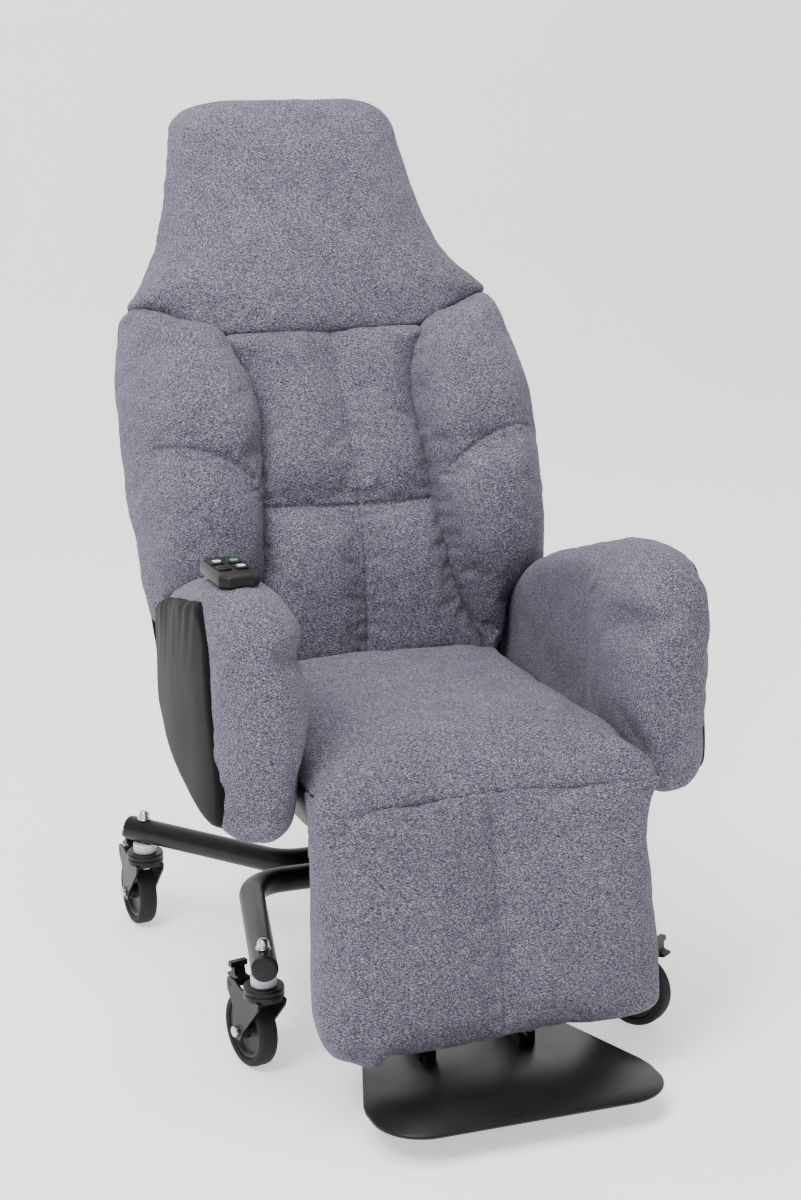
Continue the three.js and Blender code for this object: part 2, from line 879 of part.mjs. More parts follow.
const PUSH_HANDLE = { halfWidth: 170, height: 560, radius: 11, foot: -65, stand: 60, bend: 34 };

function pushHandle() {
  const { halfWidth, height, radius, foot, stand, bend } = PUSH_HANDLE;
  const corners = [
    new THREE.Vector3(-halfWidth, height, foot),
    new THREE.Vector3(-halfWidth, height, foot - stand),
    new THREE.Vector3(halfWidth, height, foot - stand),
    new THREE.Vector3(halfWidth, height, foot),
  ];
  return pipe(new PipePath(corners, [bend, bend]), radius, 0);
}

piece(back, "back_frame", backFrame(), BLACK_STEEL);
piece(back, "back_pad", backPad(), FABRIC);
piece(back, "wing_left", wing(-1), FABRIC);
piece(back, "wing_right", wing(1), FABRIC);
piece(back, "back_cover", backCover(), SKAI);
piece(back, "push_handle", pushHandle(), BLACK_STEEL);

// ---------- Leg rest and footplate ----------
function legrestFrame() {
  const { inner, outer } = HINGE_PLATE;
  const hingePlate = outline(
    [
      [LEG_HINGE.y - 12, LEG_HINGE.z + 12],
      [LEG_HINGE.y - 12, LEG_HINGE.z - 14],
      [-310, 320],
      [-298, 320],
      [-298, 344],
      [LEG_HINGE.y + 14, LEG_HINGE.z + 12],
    ],
    6,
  );
  const leverPlate = outline(
    [
      [-304, 300],
      [-298, 300],
      [LEG_LEVER.y + 9, LEG_LEVER.z],
      [LEG_LEVER.y, LEG_LEVER.z + 9],
      [LEG_LEVER.y - 9, LEG_LEVER.z],
    ],
    4,
  );
  const solids = [
    box(-200, 200, -304, -298, 128, 344),
    box(-outer, outer, -304, -298, 320, 344),
    crossPin(LEVER_X - FORK_EAR.middle, LEVER_X + FORK_EAR.middle, LEG_LEVER.y, LEG_LEVER.z, LEG_PIN, 8),
  ];
  for (const side of [-1, 1]) {
    const drop = reachOn(side, RUNNER.x - 3, RUNNER.x + 3);
    const guide = reachOn(side, RUNNER.x - 6, RUNNER.x + 6);
    solids.push(
      sideways(hingePlate, ...reachOn(side, inner, outer)),
      box(...drop, -303, -286, 52, 200),
      box(...guide, RUNNER.front, RUNNER.guideRear, 46.5, 52.5),
      sideways(leverPlate, ...reachOn(side, FORK_EAR.inner, FORK_EAR.outer).map((x) => x + LEVER_X)),
    );
  }
  return cut(join(...solids), crossPin(-230, 230, LEG_HINGE.y, LEG_HINGE.z, HINGE_PIN_RADIUS + RUNNING));
}

function legrestPad() {
  const profile = outline(
    [
      [-368, 384],
      [-354, 386],
      [-336, 356],
      [-312, 348],
      [-304.3, 336],
      [-304.3, 128],
      [-330, 84],
      [-388, 78],
      [-402, 98],
      [-390, 200],
    ],
    14,
  );
  const leverPocket = box(LEVER_X - 24, LEVER_X + 24, -341, -300, 296, 400);
  return cut(sideways(profile, -LEG_PAD_HALF_WIDTH, LEG_PAD_HALF_WIDTH), leverPocket);
}

function footplate() {
  const { top, thickness, front, rear } = FOOTPLATE;
  const plate = outline(
    [
      [-190, front],
      [190, front],
      [190, -425],
      [115, rear],
      [-115, rear],
      [-190, -425],
    ],
    62,
  );
  const solids = [upright(plate, top - thickness, top)];
  for (const side of [-1, 1]) {
    for (const flank of [-1, 1]) {
      const middle = side * RUNNER.x;
      const strip = [middle + flank * 7, middle + flank * 11].sort((a, b) => a - b);
      const lip = [middle + flank * 3.5, middle + flank * 11].sort((a, b) => a - b);
      solids.push(
        box(...strip, RUNNER.front, RUNNER.stripRear, top - 1, 56),
        box(...lip, RUNNER.front, RUNNER.stripRear, 53.2, 56),
      );
    }
  }
  return join(...solids);
}

const leg = new THREE.Group();
chair.add(leg);
piece(leg, "legrest_frame", legrestFrame(), BLACK_STEEL);
piece(leg, "legrest_pad", legrestPad(), FABRIC);
piece(leg, "footplate", footplate(), BLACK_STEEL);

// ---------- Drives: two electric actuators, the link to the leg rest and the control box ----------
const DRIVE = { bodyRadius: 19, rodRadius: 8, bore: 9, eyeRadius: 14, eyeHalf: 10, motorOffset: 34 };
const ROD_EYE_PLAY = 3; // round the pin, for the arc that the rod's far pin travels

// A rod actuator from its base eye to the far pin: the body with its motor, and the rod.
function actuator(name, x, base, end, bodyLength, motorSide) {
  const bodyEnd = pointAlong(base, end, bodyLength);
  const boreStart = pointAlong(base, end, 40);
  const boreEnd = pointAlong(base, end, bodyLength + 10);
  const tubeStart = pointAlong(base, end, 22);
  const motorStart = pointAlong(base, end, 30);
  const motorEnd = pointAlong(base, end, 78);
  const angle = Math.atan2(end.z - base.z, end.y - base.y);
  const aside = DRIVE.motorOffset * motorSide;
  const offset = { y: -Math.sin(angle) * aside, z: Math.cos(angle) * aside };
  const shifted = (point, share) => ({ y: point.y + offset.y * share, z: point.z + offset.z * share });
  const eye = crossPin(x - DRIVE.eyeHalf, x + DRIVE.eyeHalf, base.y, base.z, DRIVE.eyeRadius);
  const body = cut(
    join(
      eye,
      strut(x, base, bodyEnd, 11),
      strut(x, tubeStart, bodyEnd, DRIVE.bodyRadius, 12),
      strut(x, shifted(motorStart, 0), shifted(motorEnd, 0), DRIVE.bodyRadius + 3, 12),
      strut(x, shifted(motorStart, 1), shifted(motorEnd, 1), DRIVE.bodyRadius, 12),
    ),
    strut(x, boreStart, boreEnd, DRIVE.bore),
    crossPin(x - 20, x + 20, base.y, base.z, DRIVE_PIN + 2 * RUNNING, 12),
  );
  piece(chair, `${name}_actuator_body`, body, BLACK_PLASTIC);
  const rodStart = pointAlong(base, end, bodyLength - 60);
  const rod = cut(
    join(
      strut(x, rodStart, end, DRIVE.rodRadius),
      crossPin(x - DRIVE.eyeHalf, x + DRIVE.eyeHalf, end.y, end.z, DRIVE.eyeRadius - 2),
    ),
    crossPin(x - 20, x + 20, end.y, end.z, DRIVE_PIN + ROD_EYE_PLAY, 12),
  );
  piece(chair, `${name}_actuator_rod`, rod, BARE_STEEL);
}

actuator("tilt", 0, TILT_DRIVE.base, TILT_DRIVE.end, 190, -1);
actuator("recline", RECLINE_DRIVE.x, RECLINE_DRIVE.base, BACK_LEVER, 205, -1);

// The link's rear eye turns on the back's lever pin. Its front eye is wide round the leg lever's pin,
// which dips in it halfway through the swing.
const LINK_EYE = { drop: 2.8, radius: 13, bore: 9.5 };

function legLink() {
  const front = { y: LEG_LEVER.y, z: LEG_LEVER.z - LINK_EYE.drop };
  const left = LEVER_X - 6;
  const right = LEVER_X + 6;
  return cut(
    join(
      strut(LEVER_X, BACK_LEVER, front, 5),
      crossPin(left, right, BACK_LEVER.y, BACK_LEVER.z, 10),
      crossPin(left, right, front.y, front.z, LINK_EYE.radius),
    ),
    crossPin(left - 1, right + 1, BACK_LEVER.y, BACK_LEVER.z, DRIVE_PIN + RUNNING, 12),
    crossPin(left - 1, right + 1, front.y, front.z, LINK_EYE.bore, 12),
  );
}

piece(chair, "legrest_link", legLink(), BLACK_STEEL);

function controlBox() {
  const shape = outline(
    [
      [150, -140],
      [205, -140],
      [205, -20],
      [150, -20],
    ],
    8,
  );
  return upright(shape, DECK.bottom - 40, DECK.bottom - GAP);
}

piece(seat, "control_box", controlBox(), BLACK_PLASTIC);

// ---------- Handset on the left arm ----------
const handset = new THREE.Group();
handset.position.set(HANDSET.x, HANDSET.y, HANDSET.bottom);
seat.add(handset);
const BUTTON = { halfWidth: 8, halfLength: 11, columns: [-11, 11], rows: [18, -12], depth: 3, proud: 1.2 };

function handsetCase() {
  const half = HANDSET.width / 2;
  const reach = HANDSET.length / 2;
  const body = outline(
    [
      [-half, -reach],
      [half, -reach],
      [half, reach],
      [-half, reach],
    ],
    14,
  );
  const wells = [];
  for (const x of BUTTON.columns) {
    for (const y of BUTTON.rows) {
      const { halfWidth, halfLength, depth } = BUTTON;
      const floor = HANDSET.height - depth;
      const rim = HANDSET.height + 5;
      wells.push(
        box(x - halfWidth - 0.5, x + halfWidth + 0.5, y - halfLength - 0.5, y + halfLength + 0.5, floor, rim),
      );
    }
  }
  return cut(upright(body, 0, HANDSET.height, 3, 2), ...wells);
}

function button() {
  const { halfWidth, halfLength, depth, proud } = BUTTON;
  const face = outline(
    [
      [-halfWidth, -halfLength],
      [halfWidth, -halfLength],
      [halfWidth, halfLength],
      [-halfWidth, halfLength],
    ],
    4,
  );
  return upright(face, 0, depth - 1.4 + proud, 0, 2);
}

piece(handset, "handset_case", handsetCase(), GREY_PLASTIC);
const BUTTON_NAMES = [
  ["button_back_down", "button_back_up"],
  ["button_tilt_down", "button_tilt_up"],
];
BUTTON.columns.forEach((x, column) => {
  BUTTON.rows.forEach((y, row) => {
    const cap = piece(handset, BUTTON_NAMES[column][row], button(), BLACK_PLASTIC);
    cap.position.set(x, y, HANDSET.height - BUTTON.depth + 1.4);
  });
});

// The origin is on the floor at the middle of the whole chair's box.
const reach = new THREE.Box3().setFromObject(chair, true);
chair.position.y = -(reach.min.y + reach.max.y) / 2;
chair.position.x = -(reach.min.x + reach.max.x) / 2;

export default chair;
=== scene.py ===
"""Looks of the wheeled shell recliner chair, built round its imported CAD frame. Units are metres."""

import json
import math

import bmesh
import bpy
import numpy as np
from mathutils import Matrix, Vector
from mathutils.bvhtree import BVHTree


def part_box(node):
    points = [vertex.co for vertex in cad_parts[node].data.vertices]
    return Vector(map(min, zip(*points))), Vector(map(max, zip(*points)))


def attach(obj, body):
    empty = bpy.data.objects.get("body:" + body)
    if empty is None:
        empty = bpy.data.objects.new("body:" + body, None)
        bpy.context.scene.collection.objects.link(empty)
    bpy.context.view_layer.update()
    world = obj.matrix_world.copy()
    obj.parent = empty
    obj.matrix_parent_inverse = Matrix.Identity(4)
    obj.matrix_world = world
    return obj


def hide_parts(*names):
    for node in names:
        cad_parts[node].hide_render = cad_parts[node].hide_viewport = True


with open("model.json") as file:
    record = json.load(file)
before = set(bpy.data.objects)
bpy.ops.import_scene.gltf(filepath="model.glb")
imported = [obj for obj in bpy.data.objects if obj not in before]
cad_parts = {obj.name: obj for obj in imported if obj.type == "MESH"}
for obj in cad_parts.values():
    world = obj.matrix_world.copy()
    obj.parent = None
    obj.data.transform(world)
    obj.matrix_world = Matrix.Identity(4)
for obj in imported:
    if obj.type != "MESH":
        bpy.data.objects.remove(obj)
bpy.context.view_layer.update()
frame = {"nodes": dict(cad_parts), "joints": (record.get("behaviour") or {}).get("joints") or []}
joints = {joint["name"]: joint for joint in frame["joints"]}
scene = bpy.context.scene


def pivot(joint):
    return Vector(joints[joint]["pos_m"])


# ---------- Places taken from the frame ----------
BACK_PIVOT = pivot("back_recline")
REAR = BACK_PIVOT.y - 0.150  # the drawing's own y is measured from 0.150 m ahead of the back's pivot
RECLINE = math.radians(21)
VOXEL = 0.005
CLOTH_FRAMES = 20
CLOTH_CAP = 0.022


def on_back(x, along, depth):
    """Points of the back: across it, up along it from its pivot, and out to its front."""
    sine, cosine = math.sin(RECLINE), math.cos(RECLINE)
    y = BACK_PIVOT.y + along * sine - depth * cosine
    z = BACK_PIVOT.z + along * cosine + depth * sine
    return np.stack(np.broadcast_arrays(x, y, z), -1)


def on_seat(x, y, height):
    return np.stack(np.broadcast_arrays(x, y + REAR, height), -1)


def on_legrest(x, z, depth):
    return np.stack(np.broadcast_arrays(x, REAR - depth, z), -1)


def on_arm(side):
    def place(y, z, x):
        return np.stack(np.broadcast_arrays(side * x, y + REAR, z), -1)

    return place


# ---------- Lines and fields ----------
def smooth_line(points, steps=8, closed=False):
    """A Catmull-Rom curve through the points."""
    p = np.array(points, float)
    count = len(p)
    line = []
    for i in range(count if closed else count - 1):
        if closed:
            a, b, c, d = (p[(i + k) % count] for k in (-1, 0, 1, 2))
        else:
            a, b, c, d = p[max(i - 1, 0)], p[i], p[i + 1], p[min(i + 2, count - 1)]
        for t in np.arange(steps) / steps:
            square, cube = 2 * a - 5 * b + 4 * c - d, 3 * b - a - 3 * c + d
            line.append(0.5 * (2 * b + (c - a) * t + square * t**2 + cube * t**3))
    if not closed:
        line.append(p[-1])
    return np.array(line)


def nearest_on(points, line, closed=False):
    """The distance from each point to the line, and the nearest point on it."""
    start = line if closed else line[:-1]
    end = np.roll(line, -1, axis=0) if closed else line[1:]
    best = np.full(len(points), np.inf)
    foot = np.zeros_like(points)
    for a, b in zip(start, end):
        ab = b - a
        t = np.clip((points - a) @ ab / max(ab @ ab, 1e-12), 0, 1)
        near = a + t[:, None] * ab
        away = np.linalg.norm(points - near, axis=1)
        closer = away < best
        best[closer] = away[closer]
        foot[closer] = near[closer]
    return best, foot


def inside(points, loop):
    x, y = points[:, 0], points[:, 1]
    odd = np.zeros(len(points), bool)
    for (x0, y0), (x1, y1) in zip(loop, np.roll(loop, -1, axis=0)):
        if y0 != y1:
            crosses = (y0 > y) != (y1 > y)
            odd ^= crosses & (x < (x1 - x0) * (y - y0) / (y1 - y0) + x0)
    return odd


def through(pairs):
    """A smooth function through (place, value) pairs."""
    line = smooth_line(pairs)
    return lambda t: np.interp(t, line[:, 0], line[:, 1])


def ease(t):
    t = np.clip(t, 0, 1)
    return t * t * (3 - 2 * t)


def wobble(points, wavelength, seed):
    """A smooth field between about -1 and 1, from a few crossed waves."""
    rng = np.random.default_rng(seed)
    total = np.zeros(len(points))
    for _ in range(7):
        direction = rng.normal(size=3)
        direction *= 2 * math.pi / wavelength / np.linalg.norm(direction) * rng.uniform(0.7, 1.4)
        total += np.sin(points @ direction + rng.uniform(0, 2 * math.pi))
    return total / 3.5


def flipped(points):
    return [(-x, y) for x, y in points]


def level(value):
    """A field that has the same value everywhere."""
    return lambda a, b: np.full(len(a), value)


# ---------- Meshes ----------
def new_object(name, vertices, faces, material=None, smooth=True):
    mesh = bpy.data.meshes.new(name)
    mesh.from_pydata([tuple(v) for v in vertices], [], [tuple(f) for f in faces])
    mesh.validate()
    if smooth:
        mesh.polygons.foreach_set("use_smooth", [True] * len(mesh.polygons))
    obj = bpy.data.objects.new(name, mesh)
    scene.collection.objects.link(obj)
    if material:
        mesh.materials.append(material)
    return obj


def band(lower, upper, count):
    """The quads between two rings of points, from each ring's first index."""
    return [
        (lower + k, lower + (k + 1) % count, upper + (k + 1) % count, upper + k)
        for k in range(count)
    ]


def shaded(obj, sharp_degrees=40):
    """Smooth shading, except over edges sharper than that."""
    mesh = obj.data
    mesh.polygons.foreach_set("use_smooth", [True] * len(mesh.polygons))
    mesh.set_sharp_from_angle(angle=math.radians(sharp_degrees))
    return obj


def coordinates(obj):
    co = np.zeros(len(obj.data.vertices) * 3)
    obj.data.vertices.foreach_get("co", co)
    return co.reshape(-1, 3)


def set_coordinates(obj, co):
    obj.data.vertices.foreach_set("co", co.astype(np.float32).ravel())
    obj.data.update()


def normals(obj):
    n = np.zeros(len(obj.data.vertices) * 3)
    obj.data.vertices.foreach_get("normal", n)
    return n.reshape(-1, 3)


def face_outward(mesh):
    work = bmesh.new()
    work.from_mesh(mesh)
    bmesh.ops.remove_doubles(work, verts=work.verts, dist=1e-6)
    bmesh.ops.recalc_face_normals(work, faces=work.faces)
    work.to_mesh(mesh)
    work.free()


def apply_modifiers(obj):
    """Bakes the object's modifiers into its mesh."""
    bpy.context.view_layer.update()
    graph = bpy.context.evaluated_depsgraph_get()
    baked = bpy.data.meshes.new_from_object(obj.evaluated_get(graph))
    baked.name = obj.name
    materials = list(obj.data.materials)
    obj.modifiers.clear()
    obj.data = baked
    if not baked.materials:
        for material in materials:
            baked.materials.append(material)
    baked.polygons.foreach_set("use_smooth", [True] * len(baked.polygons))
    return obj


def remeshed(obj, voxel=VOXEL, smoothing=6):
    remesh = obj.modifiers.new("voxels", "REMESH")
    remesh.mode = "VOXEL"
    remesh.voxel_size = voxel
    relax = obj.modifiers.new("relax", "SMOOTH")
    relax.factor = 0.5
    relax.iterations = smoothing
    return apply_modifiers(obj)


def grown(loop, by):
    """The closed line moved outward by that much."""
    along = np.roll(loop, -1, axis=0) - np.roll(loop, 1, axis=0)
    out = np.stack([along[:, 1], -along[:, 0]], -1)
    out /= np.linalg.norm(out, axis=1)[:, None]
    x, y = loop[:, 0], loop[:, 1]
    turn = np.sign(np.sum(x * np.roll(y, -1) - y * np.roll(x, -1)))
    return loop + by * turn * out


def pillow(name, outline, place, front, rear, edge, rounding, material, grow=0.0, cell=VOXEL, smoothing=6):
    """A closed pad over a flat outline. Its two faces are depth fields that meet at the edge field round the
    outline, and each rises from there over the rounding's width."""
    loop = grown(smooth_line(outline, 6, closed=True), grow)
    low, high = loop.min(0) - cell, loop.max(0) + cell
    columns, rows = (np.ceil((high - low) / cell)).astype(int) + 1
    a, b = np.meshgrid(low[0] + cell * np.arange(columns), low[1] + cell * np.arange(rows), indexing="ij")
    points = np.stack([a.ravel(), b.ravel()], -1)
    held = inside(points, loop)
    away, foot = nearest_on(points, loop, closed=True)
    away[~held] = 0
    points[~held] = foot[~held]
    used = held | (np.linalg.norm(foot - np.stack([a.ravel(), b.ravel()], -1), axis=1) < 1.5 * cell)
    share = np.clip(away / rounding(points[:, 0], points[:, 1]), 0, 1)
    rise = np.sqrt(1 - (1 - share) ** 2)
    border = edge(points[:, 0], points[:, 1])
    sheets = []
    for field in (front, rear):
        depth = border + (field(points[:, 0], points[:, 1]) - border) * rise
        sheets.append(place(points[:, 0], points[:, 1], depth))
    index = np.arange(columns * rows).reshape(columns, rows)
    quads = np.stack([index[:-1, :-1], index[1:, :-1], index[1:, 1:], index[:-1, 1:]], -1).reshape(-1, 4)
    quads = quads[used[quads].all(1) & held[quads].any(1)]
    faces = [*quads.tolist(), *(quads[:, ::-1] + columns * rows).tolist()]
    obj = new_object(name, np.concatenate(sheets), faces, material)
    face_outward(obj.data)
    return remeshed(obj, cell, smoothing)


def on_surface(obj, seam):
    """The seam's line on the pad's face, from its place and its points on the outline's plane."""
    place, points = seam
    flat = smooth_line(points, 10)
    faces = [tuple(face.vertices) for face in obj.data.polygons]
    tree = BVHTree.FromPolygons([vertex.co for vertex in obj.data.vertices], faces)
    above = place(flat[:, 0], flat[:, 1], np.full(len(flat), 0.7))
    below = place(flat[:, 0], flat[:, 1], np.zeros(len(flat)))
    hits = [tree.ray_cast(Vector(a), Vector(b - a).normalized())[0] for a, b in zip(above, below)]
    return np.array([tuple(hit) for hit in hits if hit is not None])


cushions = []


def add_cloth(obj, seams, held, hold=0.012, pressure=4.0, swell=0.02):
    """Inflates the pad as cloth, held along its seams and wherever held() says."""
    co = coordinates(obj)
    weight = np.zeros(len(co))
    for seam in seams:
        away, _ = nearest_on(co, on_surface(obj, seam))
        weight = np.maximum(weight, 1 - ease(away / hold))
    weight = np.maximum(weight, held(co))
    cushions.append((obj, weight, pressure, swell))


def run_cloth():
    """Simulates every pad at once and keeps the result in its mesh."""
    live = []
    for obj, weight, pressure, swell in cushions:
        group = obj.vertex_groups.new(name="held")
        for i in np.nonzero(weight > 0.01)[0]:
            group.add([int(i)], float(weight[i]), "REPLACE")
        cloth = obj.modifiers.new("cloth", "CLOTH")
        settings = cloth.settings
        settings.quality = 6
        settings.mass = 0.3
        settings.tension_stiffness = settings.compression_stiffness = 12
        settings.shear_stiffness = 6
        settings.bending_stiffness = 0.8
        settings.air_damping = 2
        settings.use_pressure = True
        settings.uniform_pressure_force = pressure
        settings.shrink_min = -swell
        settings.effector_weights.gravity = 0
        settings.vertex_group_mass = "held"
        settings.pin_stiffness = 2
        cloth.collision_settings.use_collision = False
        cloth.point_cache.frame_start = 1
        cloth.point_cache.frame_end = CLOTH_FRAMES
        live.append((obj, coordinates(obj)))
    for step in range(1, CLOTH_FRAMES + 1):
        scene.frame_set(step)
    graph = bpy.context.evaluated_depsgraph_get()
    for obj, before in live:
        after = np.zeros(len(before) * 3)
        obj.evaluated_get(graph).data.vertices.foreach_get("co", after)
        move = after.reshape(-1, 3) - before
        length = np.linalg.norm(move, axis=1)
        length = np.where(np.isfinite(length), length, 0)
        move = np.nan_to_num(move)
        capped = CLOTH_CAP * np.tanh(length / CLOTH_CAP)
        obj.modifiers.clear()
        obj.vertex_groups.clear()
        set_coordinates(obj, before + move * (capped / np.maximum(length, 1e-9))[:, None])
    scene.frame_set(1)


def refine(obj, seams, depth=0.0042, width=0.0030, ripple=0.0011, seed=1):
    """Subdivides a pad once, then presses its seams in and gives the cloth round them its small gathers."""
    divide = obj.modifiers.new("finer", "SUBSURF")
    divide.levels = divide.render_levels = 1
    apply_modifiers(obj)
    co, out = coordinates(obj), normals(obj)
    push = np.zeros(len(co))
    near = np.full(len(co), np.inf)
    for seam in seams:
        away, _ = nearest_on(co, on_surface(obj, seam))
        near = np.minimum(near, away)
    if seams:
        push -= depth * np.exp(-((near / width) ** 2))
        push += ripple * np.exp(-((near / 0.028) ** 2)) * wobble(co, 0.018, seed)
    push += 0.0012 * wobble(co, 0.09, seed + 1) + 0.0005 * wobble(co, 0.035, seed + 2)
    set_coordinates(obj, co + out * push[:, None])
    return obj


# ---------- Materials ----------
class Shader:
    """A node material under construction, with short ways to add and join its nodes."""

    def __init__(self, name):
        self.material = bpy.data.materials.new(name)
        self.material.use_nodes = True
        self.tree = self.material.node_tree
        self.surface = self.tree.nodes["Principled BSDF"]
        self.place = self.add("ShaderNodeTexCoord").outputs["Object"]

    def add(self, kind, inputs=None, **settings):
        node = self.tree.nodes.new(kind)
        for key, value in settings.items():
            setattr(node, key, value)
        for key, value in (inputs or {}).items():
            if isinstance(value, bpy.types.NodeSocket):
                self.tree.links.new(value, node.inputs[key])
            else:
                node.inputs[key].default_value = value
        return node

    def noise(self, scale, detail=3.0, roughness=0.55, place=None, distortion=0.0):
        inputs = {
            "Vector": place or self.place,
            "Scale": scale,
            "Detail": detail,
            "Roughness": roughness,
            "Distortion": distortion,
        }
        return self.add("ShaderNodeTexNoise", inputs).outputs["Fac"]

    def waves(self, direction, spacing, distortion=0.0, detail_scale=1.0):
        """Bands across one direction, that far apart, in metres."""
        ends = {0: self.place, 1: Vector(direction).normalized()}
        along = self.add("ShaderNodeVectorMath", ends, operation="DOT_PRODUCT").outputs["Value"]
        phase = self.math("MULTIPLY", along, 2 * math.pi / spacing)
        if distortion:
            shift = self.math("MULTIPLY", self.noise(detail_scale, 2.0), distortion)
            phase = self.math("ADD", phase, shift)
        return self.math("SINE", phase)

    def math(self, operation, first, second=0.0, clamp=False):
        inputs = {0: first, 1: second}
        return self.add("ShaderNodeMath", inputs, operation=operation, use_clamp=clamp).outputs[0]

    def ramp(self, factor, stops):
        node = self.add("ShaderNodeValToRGB", {"Fac": factor})
        elements = node.color_ramp.elements
        while len(elements) < len(stops):
            elements.new(0.5)
        for element, (position, color) in zip(elements, stops):
            element.position = position
            element.color = (*color, 1) if len(color) == 3 else color
        return node.outputs["Color"]

    def between(self, factor, low, high):
        inputs = {"Value": factor, "To Min": low, "To Max": high}
        return self.add("ShaderNodeMapRange", inputs).outputs["Result"]

    def mix(self, factor, first, second, blend="MIX"):
        node = self.add("ShaderNodeMix", data_type="RGBA", blend_type=blend)
        for socket, value in ((0, factor), (6, first), (7, second)):
            if isinstance(value, bpy.types.NodeSocket):
                self.tree.links.new(value, node.inputs[socket])
            else:
                node.inputs[socket].default_value = value if socket == 0 else (*value, 1)
        return node.outputs[2]

    def bump(self, height, distance, strength=1.0, under=None):
        inputs = {"Height": height, "Distance": distance, "Strength": strength}
        if under is not None:
            inputs["Normal"] = under
        return self.add("ShaderNodeBump", inputs).outputs["Normal"]

    def set(self, **values):
        for key, value in values.items():
            socket = self.surface.inputs[key.replace("_", " ")]
            if isinstance(value, bpy.types.NodeSocket):
                self.tree.links.new(value, socket)
            else:
                socket.default_value = value
        return self.material


def fabric():
    """Heather grey twill: pale and dark yarns that slant one way and the other in fine short ribs."""
    s = Shader("heather_twill")

    def yarns(turn, along, across):
        inputs = {"Vector": s.place, "Rotation": turn, "Scale": (along, across, across)}
        spun = s.add("ShaderNodeMapping", inputs)
        return s.noise(1.0, 1.5, 0.5, spun.outputs["Vector"])

    quarter = math.radians(45)
    rising = yarns((quarter, quarter, 0.3), 290, 880)
    falling = yarns((-quarter, -quarter, 0.3), 320, 840)
    flecks = s.noise(760, 2.0, 0.65)
    patches = s.noise(34, 3.0, 0.6, distortion=0.8)
    soft = s.noise(7, 2.0)
    weave = s.math("ADD", s.math("MULTIPLY", rising, 0.5), s.math("MULTIPLY", falling, 0.5))
    tone = s.math("ADD", s.math("MULTIPLY", weave, 0.55), s.math("MULTIPLY", flecks, 0.45))
    tone = s.math("ADD", tone, s.math("MULTIPLY", s.math("SUBTRACT", patches, 0.5), 0.045))
    tone = s.math("ADD", tone, s.math("MULTIPLY", s.math("SUBTRACT", soft, 0.5), 0.03))
    color = s.ramp(
        tone,
        [
            (0.39, (0.018, 0.016, 0.024)),
            (0.47, (0.074, 0.068, 0.094)),
            (0.53, (0.136, 0.127, 0.166)),
            (0.61, (0.350, 0.336, 0.402)),
        ],
    )
    normal = s.bump(tone, 0.0014, 0.6)
    return s.set(
        Base_Color=color,
        Roughness=s.between(flecks, 0.85, 1.0),
        Sheen_Weight=0.08,
        Sheen_Roughness=0.5,
        Sheen_Tint=(0.75, 0.74, 0.85, 1),
        Specular_IOR_Level=0.2,
        Normal=normal,
    )


def faux_leather():
    """Charcoal faux leather: a fine pebbled grain, its sheen broken by handling."""
    s = Shader("charcoal_skai")
    grain = {"Vector": s.place, "Scale": 780.0, "Randomness": 1.0}
    cells = s.add("ShaderNodeTexVoronoi", grain).outputs["Distance"]
    pores = s.noise(1500, 2.0)
    handling = s.noise(14, 4.0, 0.6)
    color = s.ramp(
        s.math("ADD", s.math("MULTIPLY", handling, 0.7), s.math("MULTIPLY", cells, 0.35)),
        [
            (0.25, (0.0022, 0.0022, 0.0024)),
            (0.60, (0.0040, 0.0040, 0.0042)),
            (0.85, (0.0068, 0.0068, 0.0072)),
        ],
    )
    normal = s.bump(cells, 0.0004, 0.5)
    normal = s.bump(pores, 0.0002, 0.3, normal)
    return s.set(
        Base_Color=color,
        Roughness=s.between(handling, 0.50, 0.64),
        Specular_IOR_Level=0.06,
        Normal=normal,
    )


def painted_steel(name="black_powder_coat", dark=0.0030, pale=0.0070, rough=(0.32, 0.46)):
    """Powder coat: a slight orange peel and faint rubbed places."""
    s = Shader(name)
    peel = s.noise(900, 2.0, 0.4)
    rubbed = s.noise(18, 5.0, 0.65)
    dust = s.noise(240, 3.0, 0.7)
    color = s.ramp(rubbed, [(0.35, (dark, dark, dark * 1.08)), (0.75, (pale, pale, pale * 1.06))])
    color = s.mix(s.between(dust, 0.0, 0.08), color, (0.03, 0.03, 0.032))
    return s.set(
        Base_Color=color,
        Roughness=s.between(rubbed, *rough),
        Specular_IOR_Level=0.25,
        Normal=s.bump(peel, 0.00018, 0.45),
    )


def bright_steel():
    """Zinc plate with fine turning marks."""
    s = Shader("bright_zinc")
    marks = s.waves((0, 0, 1), 0.0007, 3.0, 300)
    stain = s.noise(120, 4.0, 0.6)
    color = s.ramp(stain, [(0.3, (0.46, 0.47, 0.48)), (0.7, (0.70, 0.71, 0.72))])
    return s.set(
        Base_Color=color,
        Metallic=1.0,
        Roughness=s.between(stain, 0.16, 0.34),
        Normal=s.bump(marks, 0.00008, 0.4),
    )


def rubber():
    """Tyre rubber: matt dark grey, scuffed and a little dusty."""
    s = Shader("grey_rubber")
    scuff = s.noise(90, 6.0, 0.7)
    dust = s.noise(26, 4.0, 0.6)
    color = s.ramp(scuff, [(0.3, (0.007, 0.007, 0.008)), (0.72, (0.016, 0.016, 0.018))])
    color = s.mix(s.between(dust, 0.0, 0.14), color, (0.05, 0.048, 0.046))
    return s.set(
        Base_Color=color,
        Roughness=s.between(scuff, 0.62, 0.86),
        Specular_IOR_Level=0.2,
        Normal=s.bump(scuff, 0.0004, 0.4),
    )


